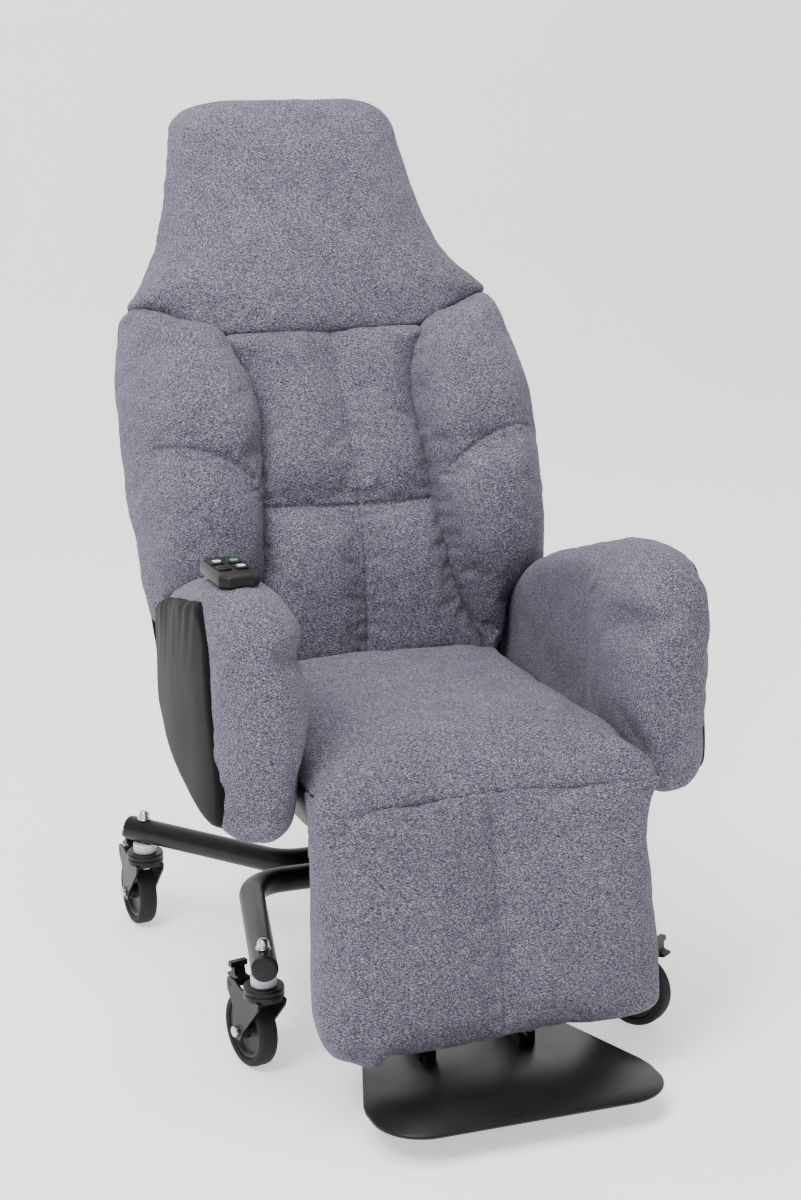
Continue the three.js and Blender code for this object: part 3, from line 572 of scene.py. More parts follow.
def plastic(name, base, spread=0.35, rough=(0.36, 0.5), tint=(1.0, 1.0, 1.04)):
    """Moulded plastic: spark texture and faint handling marks."""
    s = Shader(name)
    spark = s.noise(1300, 2.0, 0.5)
    handled = s.noise(40, 4.0, 0.6)
    dark = tuple(base * (1 - spread) * t for t in tint)
    pale = tuple(base * (1 + spread) * t for t in tint)
    return s.set(
        Base_Color=s.ramp(handled, [(0.3, dark), (0.7, pale)]),
        Roughness=s.between(handled, *rough),
        Specular_IOR_Level=0.25,
        Normal=s.bump(spark, 0.00015, 0.5),
    )


FABRIC = fabric()
SKAI = faux_leather()
BLACK_STEEL = painted_steel()
BARE_STEEL = bright_steel()
TYRE = rubber()
BLACK_PLASTIC = plastic("black_plastic", 0.005)
GREY_PLASTIC = plastic("grey_plastic", 0.009)
PALE_PLASTIC = plastic("pale_plastic", 0.62, 0.08, (0.3, 0.4), (0.96, 0.97, 1.08))
WHITE_PRINT = plastic("white_print", 0.70, 0.06, (0.35, 0.45), (1.0, 1.0, 1.0))
GREEN_PRINT = plastic("green_print", 0.30, 0.12, (0.35, 0.45), (0.25, 1.0, 0.4))

def finish_nodes():
    """Gives every CAD node that stays in view its slot's material, softened edges and smooth shading."""
    kinds = {
        "axle_bolt": BARE_STEEL,
        "stem_bolt": BARE_STEEL,
        "tilt_pin": BARE_STEEL,
        "tilt_actuator_rod": BARE_STEEL,
        "recline_actuator_rod": BARE_STEEL,
        "tilt_actuator_body": BLACK_PLASTIC,
        "recline_actuator_body": BLACK_PLASTIC,
        "control_box": BLACK_PLASTIC,
        "brake_pedal": BLACK_PLASTIC,
        "spacer": PALE_PLASTIC,
        "plug": GREY_PLASTIC,
        "rim": BLACK_PLASTIC,
        "tyre": TYRE,
    }
    for name, node in frame["nodes"].items():
        material = next((m for start, m in kinds.items() if name.startswith(start)), BLACK_STEEL)
        node.data.materials.clear()
        node.data.materials.append(material)
        if node.hide_render:
            continue
        bevel = node.modifiers.new("edges", "BEVEL")
        bevel.width = 0.0008
        bevel.segments = 2
        bevel.limit_method = "ANGLE"
        bevel.angle_limit = math.radians(38)
        bevel.harden_normals = False
        node.data.polygons.foreach_set("use_smooth", [True] * len(node.data.polygons))
        node.data.set_sharp_from_angle(angle=math.radians(38))


# ---------- The back's cushions ----------
centre_front = through(
    [
        (0, 0.062),
        (0.13, 0.096),
        (0.24, 0.106),
        (0.36, 0.100),
        (0.484, 0.084),
        (0.65, 0.074),
        (0.80, 0.060),
        (0.84, 0.05),
    ]
)
WING_INNER = [
    (0.192, 0.005),
    (0.180, 0.040),
    (0.143, 0.131),
    (0.128, 0.234),
    (0.121, 0.317),
    (0.116, 0.370),
    (0.125, 0.430),
    (0.152, 0.489),
]
HEAD_SEAM = [(0.152, 0.489), (0.205, 0.512), (0.262, 0.537)]
INSIDE_REAR = -0.006
CREASE = 0.026  # how far below its face a back cushion meets its neighbour
OVERLAP = 0.004  # neighbouring cushions press into each other


def rim_of(outline, place, edge, grow=0.0):
    loop = grown(smooth_line(outline, 6, closed=True), grow)
    rim = place(loop[:, 0], loop[:, 1], edge(loop[:, 0], loop[:, 1]))
    return np.vstack([rim, rim[:1]])


def depth_of_back(co):
    return (co[:, 2] - BACK_PIVOT.z) * math.sin(RECLINE) - (co[:, 1] - BACK_PIVOT.y) * math.cos(RECLINE)


def held_behind(rim, margin=0.014, depth=0.03):
    """Holds the points of a back cushion that lie at its rim or behind it."""

    def held(co):
        away, _ = nearest_on(co, rim)
        return np.maximum(1 - ease(away / margin), (depth_of_back(co) < depth).astype(float))

    return held


def centre_panel():
    half = [*WING_INNER[:-1], (0.146, 0.480)]
    outline = [(0, 0.000), *half, (0.08, 0.484), (0, 0.484), (-0.08, 0.484), *flipped(reversed(half))]
    upright_seam = [(0.010, 0.484), (0.013, 0.36), (0.015, 0.234), (0.012, 0.12), (0.010, 0.01)]
    level_seam = [(-0.124, 0.240), (-0.06, 0.236), (0.014, 0.233), (0.07, 0.232), (0.124, 0.236)]
    lines = [smooth_line(upright_seam), smooth_line(level_seam)]

    def front(x, s):
        points = np.stack([x, s], -1)
        dip = np.zeros(len(x))
        for line, depth, width in ((lines[0], 0.009, 0.032), (lines[1], 0.016, 0.036)):
            away, _ = nearest_on(points, line)
            dip = np.maximum(dip, depth * np.exp(-((away / width) ** 2)))
        return centre_front(s) + 0.003 - dip

    def edge(x, s):
        return centre_front(s) - CREASE + 0.010 * ease((s - 0.46) / 0.02)

    pad = pillow(
        "centre_panel",
        outline,
        on_back,
        front,
        level(INSIDE_REAR),
        edge,
        lambda x, s: 0.045 - 0.027 * ease((s - 0.45) / 0.03),
        FABRIC,
        OVERLAP,
    )
    seams = [(on_back, upright_seam), (on_back, level_seam)]
    add_cloth(pad, seams, held_behind(rim_of(outline, on_back, edge, OVERLAP)), pressure=4.0, swell=0.02)
    return pad, seams


def headrest():
    half = [
        (0.08, 0.485),
        *HEAD_SEAM,
        (0.256, 0.550),
        (0.238, 0.574),
        (0.219, 0.605),
        (0.203, 0.640),
        (0.187, 0.690),
        (0.176, 0.745),
        (0.168, 0.795),
        (0.153, 0.823),
        (0.118, 0.838),
        (0.05, 0.841),
    ]
    outline = [(0, 0.484), *half, (0, 0.841), *flipped(reversed(half))]

    def front(x, s):
        return centre_front(s) + 0.004 - 0.012 * (np.abs(x) / 0.2) ** 2

    def edge(x, s):
        low = centre_front(s) - 0.014 - 0.030 * ease((np.abs(x) - 0.14) / 0.12)
        return low + (-0.014 - low) * ease((s - 0.545) / 0.05)

    pad = pillow(
        "headrest",
        outline,
        on_back,
        front,
        level(-0.014),
        edge,
        lambda x, s: 0.020 + 0.040 * ease((s - 0.54) / 0.08),
        FABRIC,
        0.002,
    )
    add_cloth(pad, [], held_behind(rim_of(outline, on_back, edge, 0.002)), pressure=1.8, swell=0.003)
    return pad, []


def wing(side, name):
    bottom = [(0.200, 0.005), (0.212, 0.050), (0.221, 0.088), (0.244, 0.101), (0.274, 0.100)]
    outer = [(0.286, 0.126), (0.292, 0.210), (0.298, 0.330), (0.293, 0.420), (0.280, 0.490), (0.264, 0.533)]
    outline = [(side * x, s) for x, s in [*reversed(WING_INNER), *bottom, *outer, HEAD_SEAM[1]]]
    cross = [(0.314, 0.326), (0.276, 0.328), (0.238, 0.322), (0.204, 0.312), (0.172, 0.296)]
    cross = [(side * x, s) for x, s in [*cross, (0.143, 0.274), (0.118, 0.250)]]
    cross_line = smooth_line(cross)
    rising = [(0, 0.088), (0.06, 0.104), (0.11, 0.122), (0.17, 0.146), (0.24, 0.156)]
    crest = through([*rising, (0.33, 0.156), (0.42, 0.140), (0.49, 0.106), (0.54, 0.076)])

    def front(x, s):
        across = (np.abs(x) - 0.205) / 0.105
        away, _ = nearest_on(np.stack([x, s], -1), cross_line)
        return crest(s) - 0.020 * across**2 - 0.014 * np.exp(-((away / 0.036) ** 2))

    def edge(x, s):
        inner = centre_front(s) - CREASE
        head = centre_front(s) - 0.014 - 0.030 * ease((np.abs(x) - 0.14) / 0.12)
        top = ease((s - 0.455) / 0.03) * (1 - ease((np.abs(x) - 0.262) / 0.012))
        outward = ease((np.abs(x) - 0.205) / 0.085)
        flank = 0.045 - 0.035 * ease((s - 0.36) / 0.12)
        return (inner * (1 - outward) + flank * outward) * (1 - top) + head * top

    def rounding(x, s):
        side_width = 0.048 + 0.032 * ease((np.abs(x) - 0.22) / 0.06)
        top = ease((s - 0.46) / 0.04) * (1 - ease((np.abs(x) - 0.25) / 0.03))
        return side_width * (1 - top) + 0.026 * top

    rear = level(INSIDE_REAR)
    pad = pillow(name, outline, on_back, front, rear, edge, rounding, FABRIC, OVERLAP)
    seams = [(on_back, cross[1:-1])]
    add_cloth(pad, seams, held_behind(rim_of(outline, on_back, edge, OVERLAP)), pressure=3.2, swell=0.018)
    return pad, seams


# ---------- Seat and leg rest ----------
SEAT_FRONT = -0.352
SEAM_HEIGHT = 0.394


def seat_pad():
    half = [
        (0.08, SEAT_FRONT - 0.003),
        (0.15, SEAT_FRONT - 0.010),
        (0.205, SEAT_FRONT - 0.018),
        (0.226, SEAT_FRONT - 0.012),
        (0.230, SEAT_FRONT + 0.012),
        (0.222, SEAT_FRONT + 0.040),
        (0.216, -0.28),
        (0.213, -0.20),
        (0.212, 0.0),
        (0.212, 0.09),
        (0.20, 0.115),
        (0.10, 0.118),
    ]
    outline = [(0, SEAT_FRONT), *half, (0, 0.118), *flipped(reversed(half))]

    def front(x, y):
        crown = 0.007 * np.cos(np.clip(x / 0.21, -1, 1) * math.pi / 2)
        return 0.441 + crown - 0.006 * ease((-0.22 - y) / 0.12)

    def edge(x, y):
        corner = ease((np.abs(x) - 0.19) / 0.03) * ease((-0.30 - y) / 0.04)
        return SEAM_HEIGHT + 0.010 * ease((y + 0.33) / 0.05) - 0.008 * corner

    pad = pillow(
        "seat_cushion",
        outline,
        on_seat,
        front,
        level(0.376),
        edge,
        lambda x, y: 0.018 + 0.034 * ease((-0.27 - y) / 0.06),
        FABRIC,
    )
    rim = rim_of(outline, on_seat, edge)

    def held(co):
        away, _ = nearest_on(co, rim)
        return np.maximum(1 - ease(away / 0.012), (co[:, 2] < 0.39).astype(float))

    add_cloth(pad, [], held, pressure=2.5, swell=0.008)
    return pad, []


def legrest_pad():
    outline = [
        (0, 0.082),
        (0.085, 0.084),
        (0.175, 0.080),
        (0.222, 0.093),
        (0.229, 0.125),
        (0.229, 0.20),
        (0.227, 0.30),
        (0.226, 0.375),
        (0.221, 0.393),
        (0.10, 0.394),
        (0, 0.395),
        (-0.10, 0.394),
        (-0.221, 0.393),
        (-0.226, 0.375),
        (-0.225, 0.30),
        (-0.227, 0.20),
        (-0.228, 0.130),
        (-0.215, 0.092),
        (-0.180, 0.072),
        (-0.160, 0.064),
        (-0.135, 0.076),
        (-0.076, 0.076),
    ]
    face = through([(0.05, 0.390), (0.09, 0.400), (0.16, 0.394), (0.26, 0.378), (0.34, 0.362), (0.40, 0.353)])
    middle = [(0.002, 0.390), (0.003, 0.30), (0.004, 0.24), (0.006, 0.16), (0.006, 0.10)]

    def front(x, z):
        flare = 0.016 * (x / 0.21) ** 2 * ease((z - 0.30) / 0.08)
        return face(z) + flare + 0.005 * np.cos(np.clip(x / 0.21, -1, 1) * math.pi / 2)

    def edge(x, z):
        top = ease((z - 0.37) / 0.02)
        return (face(z) - 0.022) * (1 - top) + (front(x, z) - 0.006) * top

    pad = pillow(
        "legrest_cushion",
        outline,
        on_legrest,
        front,
        level(0.306),
        edge,
        lambda x, z: 0.024 - 0.015 * ease((z - 0.36) / 0.03),
        FABRIC,
    )
    seams = [(on_legrest, middle)]

    def held(co):
        return (co[:, 1] > REAR - 0.33).astype(float)

    add_cloth(pad, seams, held, pressure=2.0, swell=0.012)
    return pad, seams


# ---------- Arms and their faux leather sides ----------
ARM_OUTLINE = [
    (0.148, 0.388),
    (0.150, 0.494),
    (0.092, 0.547),
    (0.042, 0.583),
    (-0.080, 0.625),
    (-0.174, 0.650),
    (-0.215, 0.655),
    (-0.262, 0.653),
    (-0.304, 0.638),
    (-0.330, 0.600),
    (-0.338, 0.520),
    (-0.334, 0.450),
    (-0.324, 0.376),
    (-0.298, 0.346),
    (-0.200, 0.362),
    (0.040, 0.386),
]
PANEL_OUTLINE = [
    (0.150, 0.400),
    (0.160, 0.480),
    (0.150, 0.530),
    (0.060, 0.566),
    (-0.080, 0.604),
    (-0.180, 0.626),
    (-0.235, 0.636),
    (-0.268, 0.612),
    (-0.276, 0.560),
    (-0.286, 0.500),
    (-0.300, 0.440),
    (-0.306, 0.390),
    (-0.286, 0.366),
    (-0.200, 0.368),
    (0.040, 0.390),
]
skai_face = through(
    [
        (-0.345, 0.300),
        (-0.325, 0.316),
        (-0.300, 0.327),
        (-0.255, 0.333),
        (-0.18, 0.330),
        (0, 0.310),
        (0.17, 0.275),
    ]
)


def arm(side, name):
    inner = through([(-0.36, 0.214), (-0.28, 0.219), (-0.18, 0.222), (0.16, 0.223)])
    below_notch = [(0.34, 0.010), (0.40, 0.002), (0.46, -0.006), (0.52, -0.009), (0.556, -0.003)]
    above_notch = [(0.579, 0.006), (0.604, -0.004), (0.635, -0.002), (0.66, 0.012)]
    lobes = through([*below_notch, *above_notch])

    def outside(y, z):
        return skai_face(y) - 0.006 + 0.012 * ease((-0.27 - y) / 0.05)

    def inside_face(y, z):
        return inner(y) + lobes(z) * ease((-0.22 - y) / 0.09)

    def middle(y, z):
        return (skai_face(y) + inner(y)) / 2 - 0.003

    def rounding(y, z):
        return 0.032 + 0.018 * ease((-0.24 - y) / 0.06)

    pad = pillow(name, ARM_OUTLINE, on_arm(side), outside, inside_face, middle, rounding, FABRIC)

    def held(co):
        out = side * co[:, 0] > skai_face(co[:, 1] - REAR) - 0.012
        behind_panel = out & (co[:, 1] > REAR - 0.28)
        by_the_seat = (co[:, 1] > REAR - 0.16) & (side * co[:, 0] < 0.226)
        return (behind_panel | by_the_seat).astype(float)

    add_cloth(pad, [], held, pressure=2.5, swell=0.015)
    return pad, []


def skai_side(side, name):
    def face(y, z):
        below_top = np.clip((0.64 - 0.29 * np.maximum(y + 0.20, 0) - z) / 0.11, 0, 1)
        fold = np.sin(95 * (y + 0.55 * z) + 1.2 * np.sin(31 * y)) + 0.5 * np.sin(160 * (y + 0.3 * z) + 2)
        return skai_face(y) + 0.0016 * fold * (1 - below_top) ** 1.5 + 0.0008 * np.sin(23 * y + 9 * z)

    pad = pillow(
        name,
        PANEL_OUTLINE,
        on_arm(side),
        face,
        lambda y, z: skai_face(y) - 0.020,
        lambda y, z: skai_face(y) - 0.011,
        level(0.012),
        SKAI,
        cell=0.004,
        smoothing=3,
    )
    return pad


soft = {
    "centre_panel": centre_panel(),
    "headrest": headrest(),
    "wing_left_pad": wing(-1, "wing_left_pad"),
    "wing_right_pad": wing(1, "wing_right_pad"),
    "seat_cushion": seat_pad(),
    "legrest_cushion": legrest_pad(),
    "arm_left_pad": arm(-1, "arm_left_pad"),
    "arm_right_pad": arm(1, "arm_right_pad"),
}
run_cloth()
for number, (pad, seams) in enumerate(soft.values()):
    refine(pad, seams, seed=10 * number)

for name, body, node, fill in (
    ("centre_panel", "back", "back_pad", 0.75),
    ("headrest", "back", "back_pad", 0.8),
    ("wing_left_pad", "back", "wing_left", 0.8),
    ("wing_right_pad", "back", "wing_right", 0.8),
    ("seat_cushion", "seat", "seat_pad", 0.85),
    ("legrest_cushion", "legrest", "legrest_pad", 0.6),
    ("arm_left_pad", "seat", "arm_pad_left", 0.75),
    ("arm_right_pad", "seat", "arm_pad_right", 0.75),
):
    piece = soft[name][0]
    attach(piece, body)
    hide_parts(node)

for side, word in ((-1, "left"), (1, "right")):
    panel = skai_side(side, f"skai_side_{word}")
    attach(panel, "seat")
    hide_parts(f"side_panel_{word}")


# ---------- Smooth hardware in place of the faceted CAD shapes ----------
def stand_for(obj, body, node):
    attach(obj, body)
    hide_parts(node)
    return obj


def turned(name, profile, material, place=Matrix.Identity(4), sides=48):
    """A solid of revolution about its own z, from (radius, height) points, set at the place."""
    rows, faces = [], []
    for radius, height in profile:
        angles = 2 * math.pi * np.arange(sides) / sides
        rows += [place @ Vector((radius * math.cos(a), radius * math.sin(a), height)) for a in angles]
    for ring in range(len(profile) - 1):
        faces += band(ring * sides, (ring + 1) * sides, sides)
    obj = new_object(name, rows, faces, material)
    face_outward(obj.data)
    return shaded(obj)


def rounded_profile(points, radius=0.0012, steps=3):
    """The profile with its inner corners rounded off."""
    made = [points[0]]
    for before, corner, after in zip(points, points[1:], points[2:]):
        b, c, a = Vector(before), Vector(corner), Vector(after)
        reach = min(radius, 0.45 * (b - c).length, 0.45 * (a - c).length)
        start, end = c + (b - c).normalized() * reach, c + (a - c).normalized() * reach
        for k in range(steps + 1):
            t = k / steps
            made.append(tuple((1 - t) ** 2 * start + 2 * t * (1 - t) * c + t * t * end))
    return [*made, points[-1]]


def bent_path(corners, bend, steps=14):
    """The corners joined by straight lines with round bends between them."""
    path = [corners[0]]
    for before, corner, after in zip(corners, corners[1:], corners[2:]):
        into, out = (corner - before).normalized(), (after - corner).normalized()
        half = into.angle(out) / 2
        reach = bend * math.tan(half)
        centre = corner + (out - into).normalized() * (bend / math.cos(half))
        start = corner - into * reach - centre
        end = corner + out * reach - centre
        axis = start.cross(end).normalized()
        for k in range(steps + 1):
            path.append(centre + Matrix.Rotation(2 * half * k / steps, 3, axis) @ start)
    return [*path, corners[-1]]


def tube(name, path, radius, wall, material, sides=40):
    """A round tube along a flat path, with its open ends closed by a ring."""
    rows, faces = [], []
    flat_normal = (path[1] - path[0]).cross(path[-1] - path[0])
    up = flat_normal.normalized() if flat_normal.length > 1e-9 else Vector((0, 0, 1))
    rings = []
    for i, point in enumerate(path):
        along = (path[min(i + 1, len(path) - 1)] - path[max(i - 1, 0)]).normalized()
        across = along.cross(up).normalized()
        rings.append((point, across))
    shells = [radius] if not wall else [radius, radius - wall]
    for shell in shells:
        for point, across in rings:
            for k in range(sides):
                a = 2 * math.pi * k / sides
                rows.append(point + across * (shell * math.cos(a)) + up * (shell * math.sin(a)))
    count = len(rings)
    for layer in range(len(shells)):
        for r in range(count - 1):
            ring = (layer * count + r) * sides
            faces += band(ring, ring + sides, sides)
    for ring in (0, (count - 1) * sides):
        if wall:
            faces += band(ring, count * sides + ring, sides)
        else:
            faces.append(tuple(ring + k for k in range(sides)))
    obj = new_object(name, rows, faces, material)
    face_outward(obj.data)
    return shaded(obj)


def middle_of(node):
    low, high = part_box(node)
    return (low + high) / 2


TUBE_RADIUS = 0.0175
TUBE_OVERHANG = 0.024


def base_tube(name, node, stem_node, corner, bend):
    stem = middle_of(stem_node)
    height = middle_of(node).z
    stem = Vector((abs(stem.x), stem.y, height))
    corner = Vector((corner[0], corner[1] + REAR, height))
    leg = (stem - corner).normalized()
    end = stem + leg * TUBE_OVERHANG
    mirror = Matrix.Diagonal((-1, 1, 1))
    path = bent_path([mirror @ end, mirror @ corner, corner, end], bend)
    stand_for(tube(name, path, TUBE_RADIUS, 0.0025, BLACK_STEEL), "base", node)
    return end, leg


def along(direction, origin):
    """A place whose z axis points along the direction."""
    return Matrix.Translation(origin) @ Vector(direction).to_track_quat("Z", "Y").to_matrix().to_4x4()


FRONT_CORNER, FRONT_BEND = (0.183, 0.050), 0.058
REAR_CORNER, REAR_BEND = (0.116, 0.112), 0.062
front_end, front_leg = base_tube(
    "front_tube_smooth", "front_tube", "spacer_front_left", FRONT_CORNER, FRONT_BEND
)
rear_end, rear_leg = base_tube(
    "rear_tube_smooth", "rear_tube", "spacer_rear_left", REAR_CORNER, REAR_BEND
)
PLUG = rounded_profile(
    [
        (0.0, -0.010),
        (0.0145, -0.010),
        (0.0145, 0.0003),
        (TUBE_RADIUS, 0.0003),
        (TUBE_RADIUS, 0.0020),
        (0.0150, 0.0040),
        (0.0, 0.0045),
    ]
)
for side, word in ((-1, "left"), (1, "right")):
    spot = Vector((side * front_end.x, front_end.y, front_end.z))
    place = along((side * front_leg.x, front_leg.y, 0), spot)
    plug = turned(f"plug_smooth_{word}", PLUG, GREY_PLASTIC, place)
    stand_for(plug, "base", f"plug_front_{word}")
    spot = Vector((side * rear_end.x, rear_end.y, rear_end.z))
    place = along((side * rear_leg.x, rear_leg.y, 0), spot)
    cap = turned(f"rear_cap_{word}", PLUG, GREY_PLASTIC, place)
    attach(cap, "base")

# The wheel's turned profiles, as (radius, place along the axle)
TYRE_PROFILE = [
    (0.0388, -0.0105),
    (0.0400, -0.0122),
    (0.0440, -0.0130),
    (0.0472, -0.0122),
    (0.0492, -0.0098),
    (0.0500, -0.0060),
    (0.0500, 0.0060),
    (0.0492, 0.0098),
    (0.0472, 0.0122),
    (0.0440, 0.0130),
    (0.0400, 0.0122),
    (0.0388, 0.0105),
    (0.0388, -0.0105),
]
RIM_PROFILE = [
    (0.0046, -0.0160),
    (0.0110, -0.0160),
    (0.0122, -0.0060),
    (0.0200, -0.0045),
    (0.0310, -0.0045),
    (0.0345, -0.0095),
    (0.0386, -0.0100),
    (0.0386, 0.0100),
    (0.0345, 0.0095),
    (0.0310, 0.0045),
    (0.0200, 0.0045),
    (0.0122, 0.0060),
    (0.0110, 0.0160),
    (0.0046, 0.0160),
    (0.0046, -0.0160),
]
AXLE_PROFILE = [
    (0.0, -0.0273),
    (0.0055, -0.0273),
    (0.0072, -0.0262),
    (0.0072, -0.0213),
    (0.0040, -0.0213),
    (0.0040, 0.0213),
    (0.0065, 0.0213),
    (0.0065, 0.0250),
    (0.0050, 0.0262),
    (0.0, 0.0262),
]
for corner in ("front_left", "front_right", "rear_left", "rear_right"):
    spin = joints[f"wheel_spin_{corner}"]
    axle = along(spin["axis"], spin["pos_m"])
    tyre = turned(f"tyre_smooth_{corner}", TYRE_PROFILE, TYRE, axle, 72)
    stand_for(tyre, f"wheel_{corner}", f"tyre_{corner}")
    rim = turned(f"rim_smooth_{corner}", rounded_profile(RIM_PROFILE, 0.001), BLACK_PLASTIC, axle, 72)
    stand_for(rim, f"wheel_{corner}", f"rim_{corner}")
    bolt = turned(f"axle_smooth_{corner}", rounded_profile(AXLE_PROFILE, 0.0006), BARE_STEEL, axle, 32)
    stand_for(bolt, f"swivel_{corner}", f"axle_bolt_{corner}")
    low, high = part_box(f"spacer_{corner}")
    foot = Matrix.Translation((middle_of(f"spacer_{corner}").x, middle_of(f"spacer_{corner}").y, 0))
    ring = [
        (0.0072, low.z),
        (0.0165, low.z),
        (0.0170, low.z + 0.002),
        (0.0170, high.z - 0.002),
        (0.0165, high.z),
        (0.0072, high.z),
    ]
    spacer = turned(f"spacer_smooth_{corner}", ring, PALE_PLASTIC, foot)
    stand_for(spacer, "base", f"spacer_{corner}")
    nut = high.z + 2 * TUBE_RADIUS + 0.0006
    dome = [
        (0.0, 0.096),
        (0.009, 0.096),
        (0.009, 0.1023),
        (0.006, 0.1023),
        (0.006, nut),
        (0.0098, nut),
        (0.0098, nut + 0.0014),
        (0.0078, nut + 0.0020),
        (0.0078, nut + 0.0070),
        (0.0070, nut + 0.0100),
        (0.0045, nut + 0.0125),
        (0.0, nut + 0.0135),
    ]
    stem = turned(f"stem_smooth_{corner}", rounded_profile(dome, 0.0008), BARE_STEEL, foot)
    stand_for(stem, "base", f"stem_bolt_{corner}")
    raceway = [
        (0.0225, 0.1042),
        (0.0262, 0.1052),
        (0.0268, 0.1120),
        (0.0255, 0.1150),
        (0.0268, 0.1172),
        (0.0262, 0.1212),
        (0.0215, 0.1223),
    ]
    race = turned(f"raceway_{corner}", rounded_profile(raceway, 0.0008), BLACK_STEEL, foot, 64)
    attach(race, f"swivel_{corner}")


# ---------- Footplate, rear shell and push handle ----------
def footplate():
    """A flat plate with two large front corners, on its two pairs of slotted strips."""
    low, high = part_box("footplate")
    half, front, rear, top = high.x, low.y, high.y, high.z - 0.016
    shoulder, waist, corner = front + 0.098, 0.115, 0.062
    quarter = np.radians(np.arange(0, 91, 9))
    right = [(half - corner + corner * math.sin(a), front + corner - corner * math.cos(a)) for a in quarter]
    right += [(half, shoulder - 0.012), (half - 0.004, shoulder + 0.008)]
    right += [(waist + 0.012, rear - 0.024), (waist - 0.004, rear - 0.005), (waist - 0.02, rear)]
    loop = [*right, *[(-x, y) for x, y in reversed(right)]]
    rows, faces = [], []
    for height, inset in ((top - 0.005, 0.0012), (top - 0.0038, 0.0), (top - 0.0012, 0.0), (top, 0.0012)):
        rows += [(x, y, height) for x, y in grown(np.array(loop), -inset)]
    count = len(loop)
    for layer in range(3):
        faces += band(layer * count, (layer + 1) * count, count)
    faces += [tuple(range(count)), tuple(range(3 * count, 4 * count))]
    slot_front, slot_rear = REAR - 0.330, REAR - 0.250
    for side in (-1, 1):
        for flank in (-1, 1):
            middle = side * 0.068
            for near, far, base in ((0.007, 0.011, top - 0.001), (0.0035, 0.011, high.z - 0.0028)):
                start = len(rows)
                for z in (base, high.z):
                    for x, y in ((near, slot_front), (far, slot_front), (far, slot_rear), (near, slot_rear)):
                        rows.append((middle + flank * x, y, z))
                faces += [tuple(range(start, start + 4)), tuple(range(start + 4, start + 8))]
                faces += band(start, start + 4, 4)
    obj = new_object("footplate_smooth", rows, faces, BLACK_STEEL)
    work = bmesh.new()
    work.from_mesh(obj.data)
    bmesh.ops.recalc_face_normals(work, faces=work.faces)
    work.to_mesh(obj.data)
    work.free()
    return shaded(obj, 50)


stand_for(footplate(), "foot_plate", "footplate")


def rear_shell():
    half = [
        (0.236, -0.004),
        (0.268, 0.100),
        (0.270, 0.300),
        (0.256, 0.470),
        (0.226, 0.545),
        (0.184, 0.650),
        (0.156, 0.740),
        (0.134, 0.792),
        (0.090, 0.812),
    ]
    outline = [(0, -0.006), *half, (0, 0.815), *flipped(reversed(half))]
    belly = through(
        [(-0.01, 0.052), (0.06, 0.068), (0.30, 0.072), (0.48, 0.069), (0.64, 0.057), (0.82, 0.042)]
    )
    return pillow(
        "rear_shell",
        outline,
        on_back,
        level(-0.0224),
        lambda x, s: -belly(s) + 0.004 * (x / 0.25) ** 2,
        level(-0.026),
        level(0.045),
        SKAI,
    )


shell = rear_shell()
refine(shell, [], seed=95)
stand_for(shell, "back", "back_cover")


def push_handle():
    half, height, foot, stand = 0.170, 0.560, -0.065, 0.060
    corners = [(-half, foot), (-half, foot - stand), (half, foot - stand), (half, foot)]
    path = bent_path([Vector(on_back(x, height, depth)) for x, depth in corners], 0.040)
    return tube("push_handle_smooth", path, 0.011, 0, BLACK_STEEL, 32)


stand_for(push_handle(), "back", "push_handle")


# ---------- Handset ----------
def slab(name, half_x, half_y, corner, layers, centre, material, body):
    """A flat body with chamfered corners, from (height, inset) layers."""
    rows, faces = [], []
    for height, inset in layers:
        hx, hy, c = half_x - inset, half_y - inset, max(corner - 0.4 * inset, 0.0005)
        loop = [(hx - c, -hy), (hx, -hy + c), (hx, hy - c), (hx - c, hy)]
        loop += [(-x, y) for x, y in reversed(loop)]
        rows += [(centre[0] + x, centre[1] + y, height) for x, y in loop]
    for layer in range(len(layers) - 1):
        faces += band(layer * 8, (layer + 1) * 8, 8)
    last = (len(layers) - 1) * 8
    faces.append(tuple(range(7, -1, -1)))
    faces.append(tuple(range(last, last + 8)))
    obj = new_object(name, rows, faces, material)
    face_outward(obj.data)
    bevel = obj.modifiers.new("edges", "BEVEL")
    bevel.width, bevel.segments = 0.0007, 2
    apply_modifiers(obj)
    obj.data.set_sharp_from_angle(angle=math.radians(50))
    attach(obj, body)
    return obj


low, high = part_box("handset_case")
case_middle = (low + high) / 2
half_x, half_y = (high.x - low.x) / 2, (high.y - low.y) / 2
layers = [(low.z, 0.002), (low.z + 0.003, 0.0), (high.z - 0.005, 0.0), (high.z - 0.001, 0.0035)]
CASE_CORNER, KEY_CORNER, MARK_CORNER = 0.011, 0.003, 0.0015
case = slab("handset_shell", half_x, half_y, CASE_CORNER, layers, case_middle, GREY_PLASTIC, "seat")
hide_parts("handset_case")
PRINTS = {
    "back_up": GREY_PLASTIC,
    "back_down": WHITE_PRINT,
    "tilt_up": WHITE_PRINT,
    "tilt_down": GREEN_PRINT,
}
for word, print_material in PRINTS.items():
    low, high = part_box(f"button_{word}")
    key_middle = (low + high) / 2
    hx, hy = (high.x - low.x) / 2, (high.y - low.y) / 2
    body = f"key_{word}"
    layers = [(low.z, 0.0), (high.z, 0.0), (high.z + 0.0006, 0.001)]
    key = slab(f"key_{word}_smooth", hx, hy, KEY_CORNER, layers, key_middle, BLACK_PLASTIC, body)
    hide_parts(f"button_{word}")
    layers = [(high.z + 0.0004, 0.0), (high.z + 0.0011, 0.0002)]
    mark_x, mark_y = hx * 0.62, hy * 0.45
    mark = slab(f"mark_{word}", mark_x, mark_y, MARK_CORNER, layers, key_middle, print_material, body)

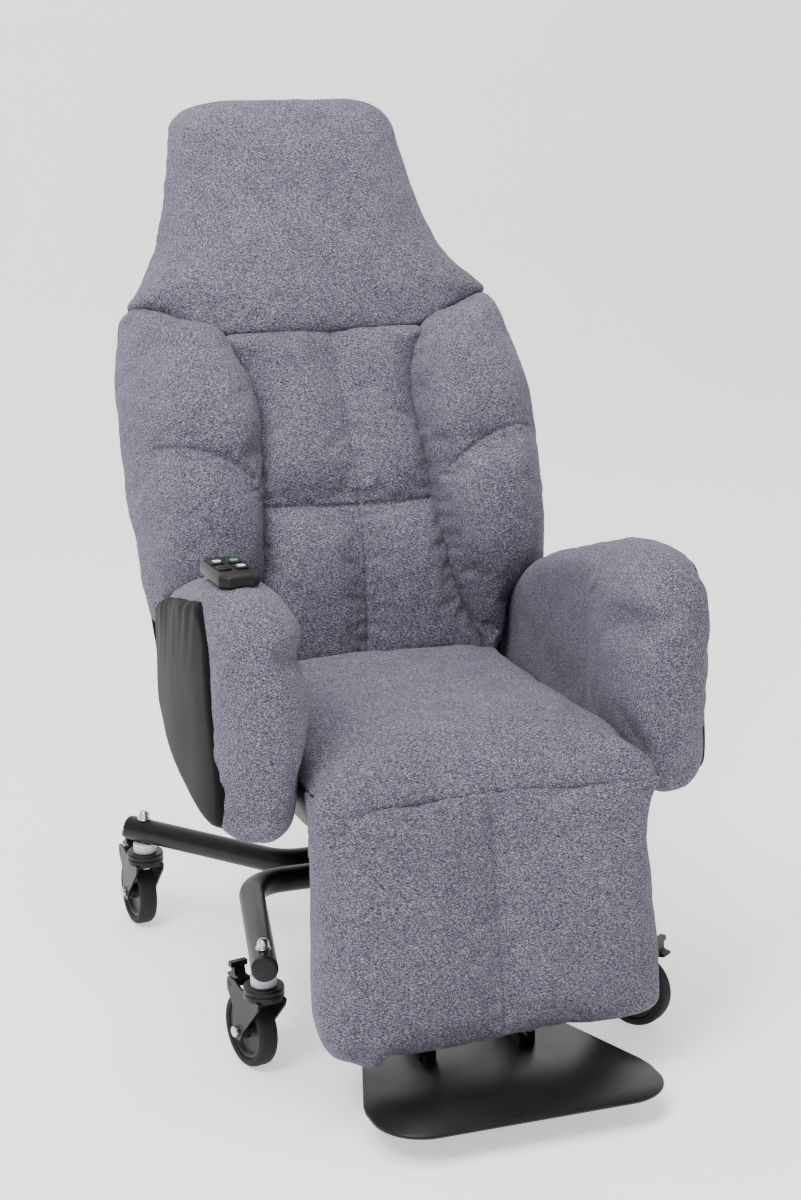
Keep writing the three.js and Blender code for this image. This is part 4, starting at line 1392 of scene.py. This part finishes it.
finish_nodes()

# ---------- Floor, light and camera ----------
def backdrop():
    """A seamless sweep: floor, curve and wall in one pale sheet."""
    shader = Shader("pale_sweep")
    shader.set(
        Base_Color=shader.ramp(shader.noise(3, 2.0), [(0.2, (0.90, 0.90, 0.90)), (0.8, (0.93, 0.93, 0.93))]),
        Roughness=shader.between(shader.noise(40, 3.0), 0.75, 0.9),
        Emission_Color=(1, 1, 1, 1),
        Emission_Strength=0.75,
    )
    profile = [(-9.0, 0.0), (2.5, 0.0)]
    profile += [(2.5 + 2 * math.sin(a), 2 - 2 * math.cos(a)) for a in np.radians(np.arange(6, 91, 6))]
    profile += [(4.5, 9.0)]
    rows = [(x, y, z) for y, z in profile for x in (-12, 12)]
    faces = [(2 * i, 2 * i + 1, 2 * i + 3, 2 * i + 2) for i in range(len(profile) - 1)]
    sweep = new_object("sweep", rows, faces, shader.material)


backdrop()
world = bpy.data.worlds.new("studio")
scene.world = world
world.use_nodes = True
world.node_tree.nodes["Background"].inputs["Color"].default_value = (1, 1, 1, 1)
world.node_tree.nodes["Background"].inputs["Strength"].default_value = 0.5


def lamp(name, place, target, size, power):
    light = bpy.data.lights.new(name, "AREA")
    light.shape = "RECTANGLE"
    light.size, light.size_y = size
    light.energy = power
    obj = bpy.data.objects.new(name, light)
    obj.location = place
    obj.rotation_euler = (Vector(target) - Vector(place)).to_track_quat("-Z", "Y").to_euler()
    scene.collection.objects.link(obj)


lamp("key", (-2.0, -1.6, 3.5), (0, 0, 0.8), (1.4, 1.4), 135)
lamp("fill", (3.0, -2.6, 1.6), (0, 0, 0.6), (2.2, 2.2), 8)
lamp("top", (-0.3, -0.2, 3.4), (0, 0, 0.7), (1.6, 1.6), 75)

camera = bpy.data.objects.new("camera", bpy.data.cameras.new("camera"))
camera.location = (-1.0845, REAR - 2.9339, 1.3706)
camera.rotation_euler = (math.radians(90 - 14.671), 0, math.radians(-20.6161))
camera.data.lens = 72.47
camera.data.sensor_width = 36
scene.collection.objects.link(camera)
scene.camera = camera
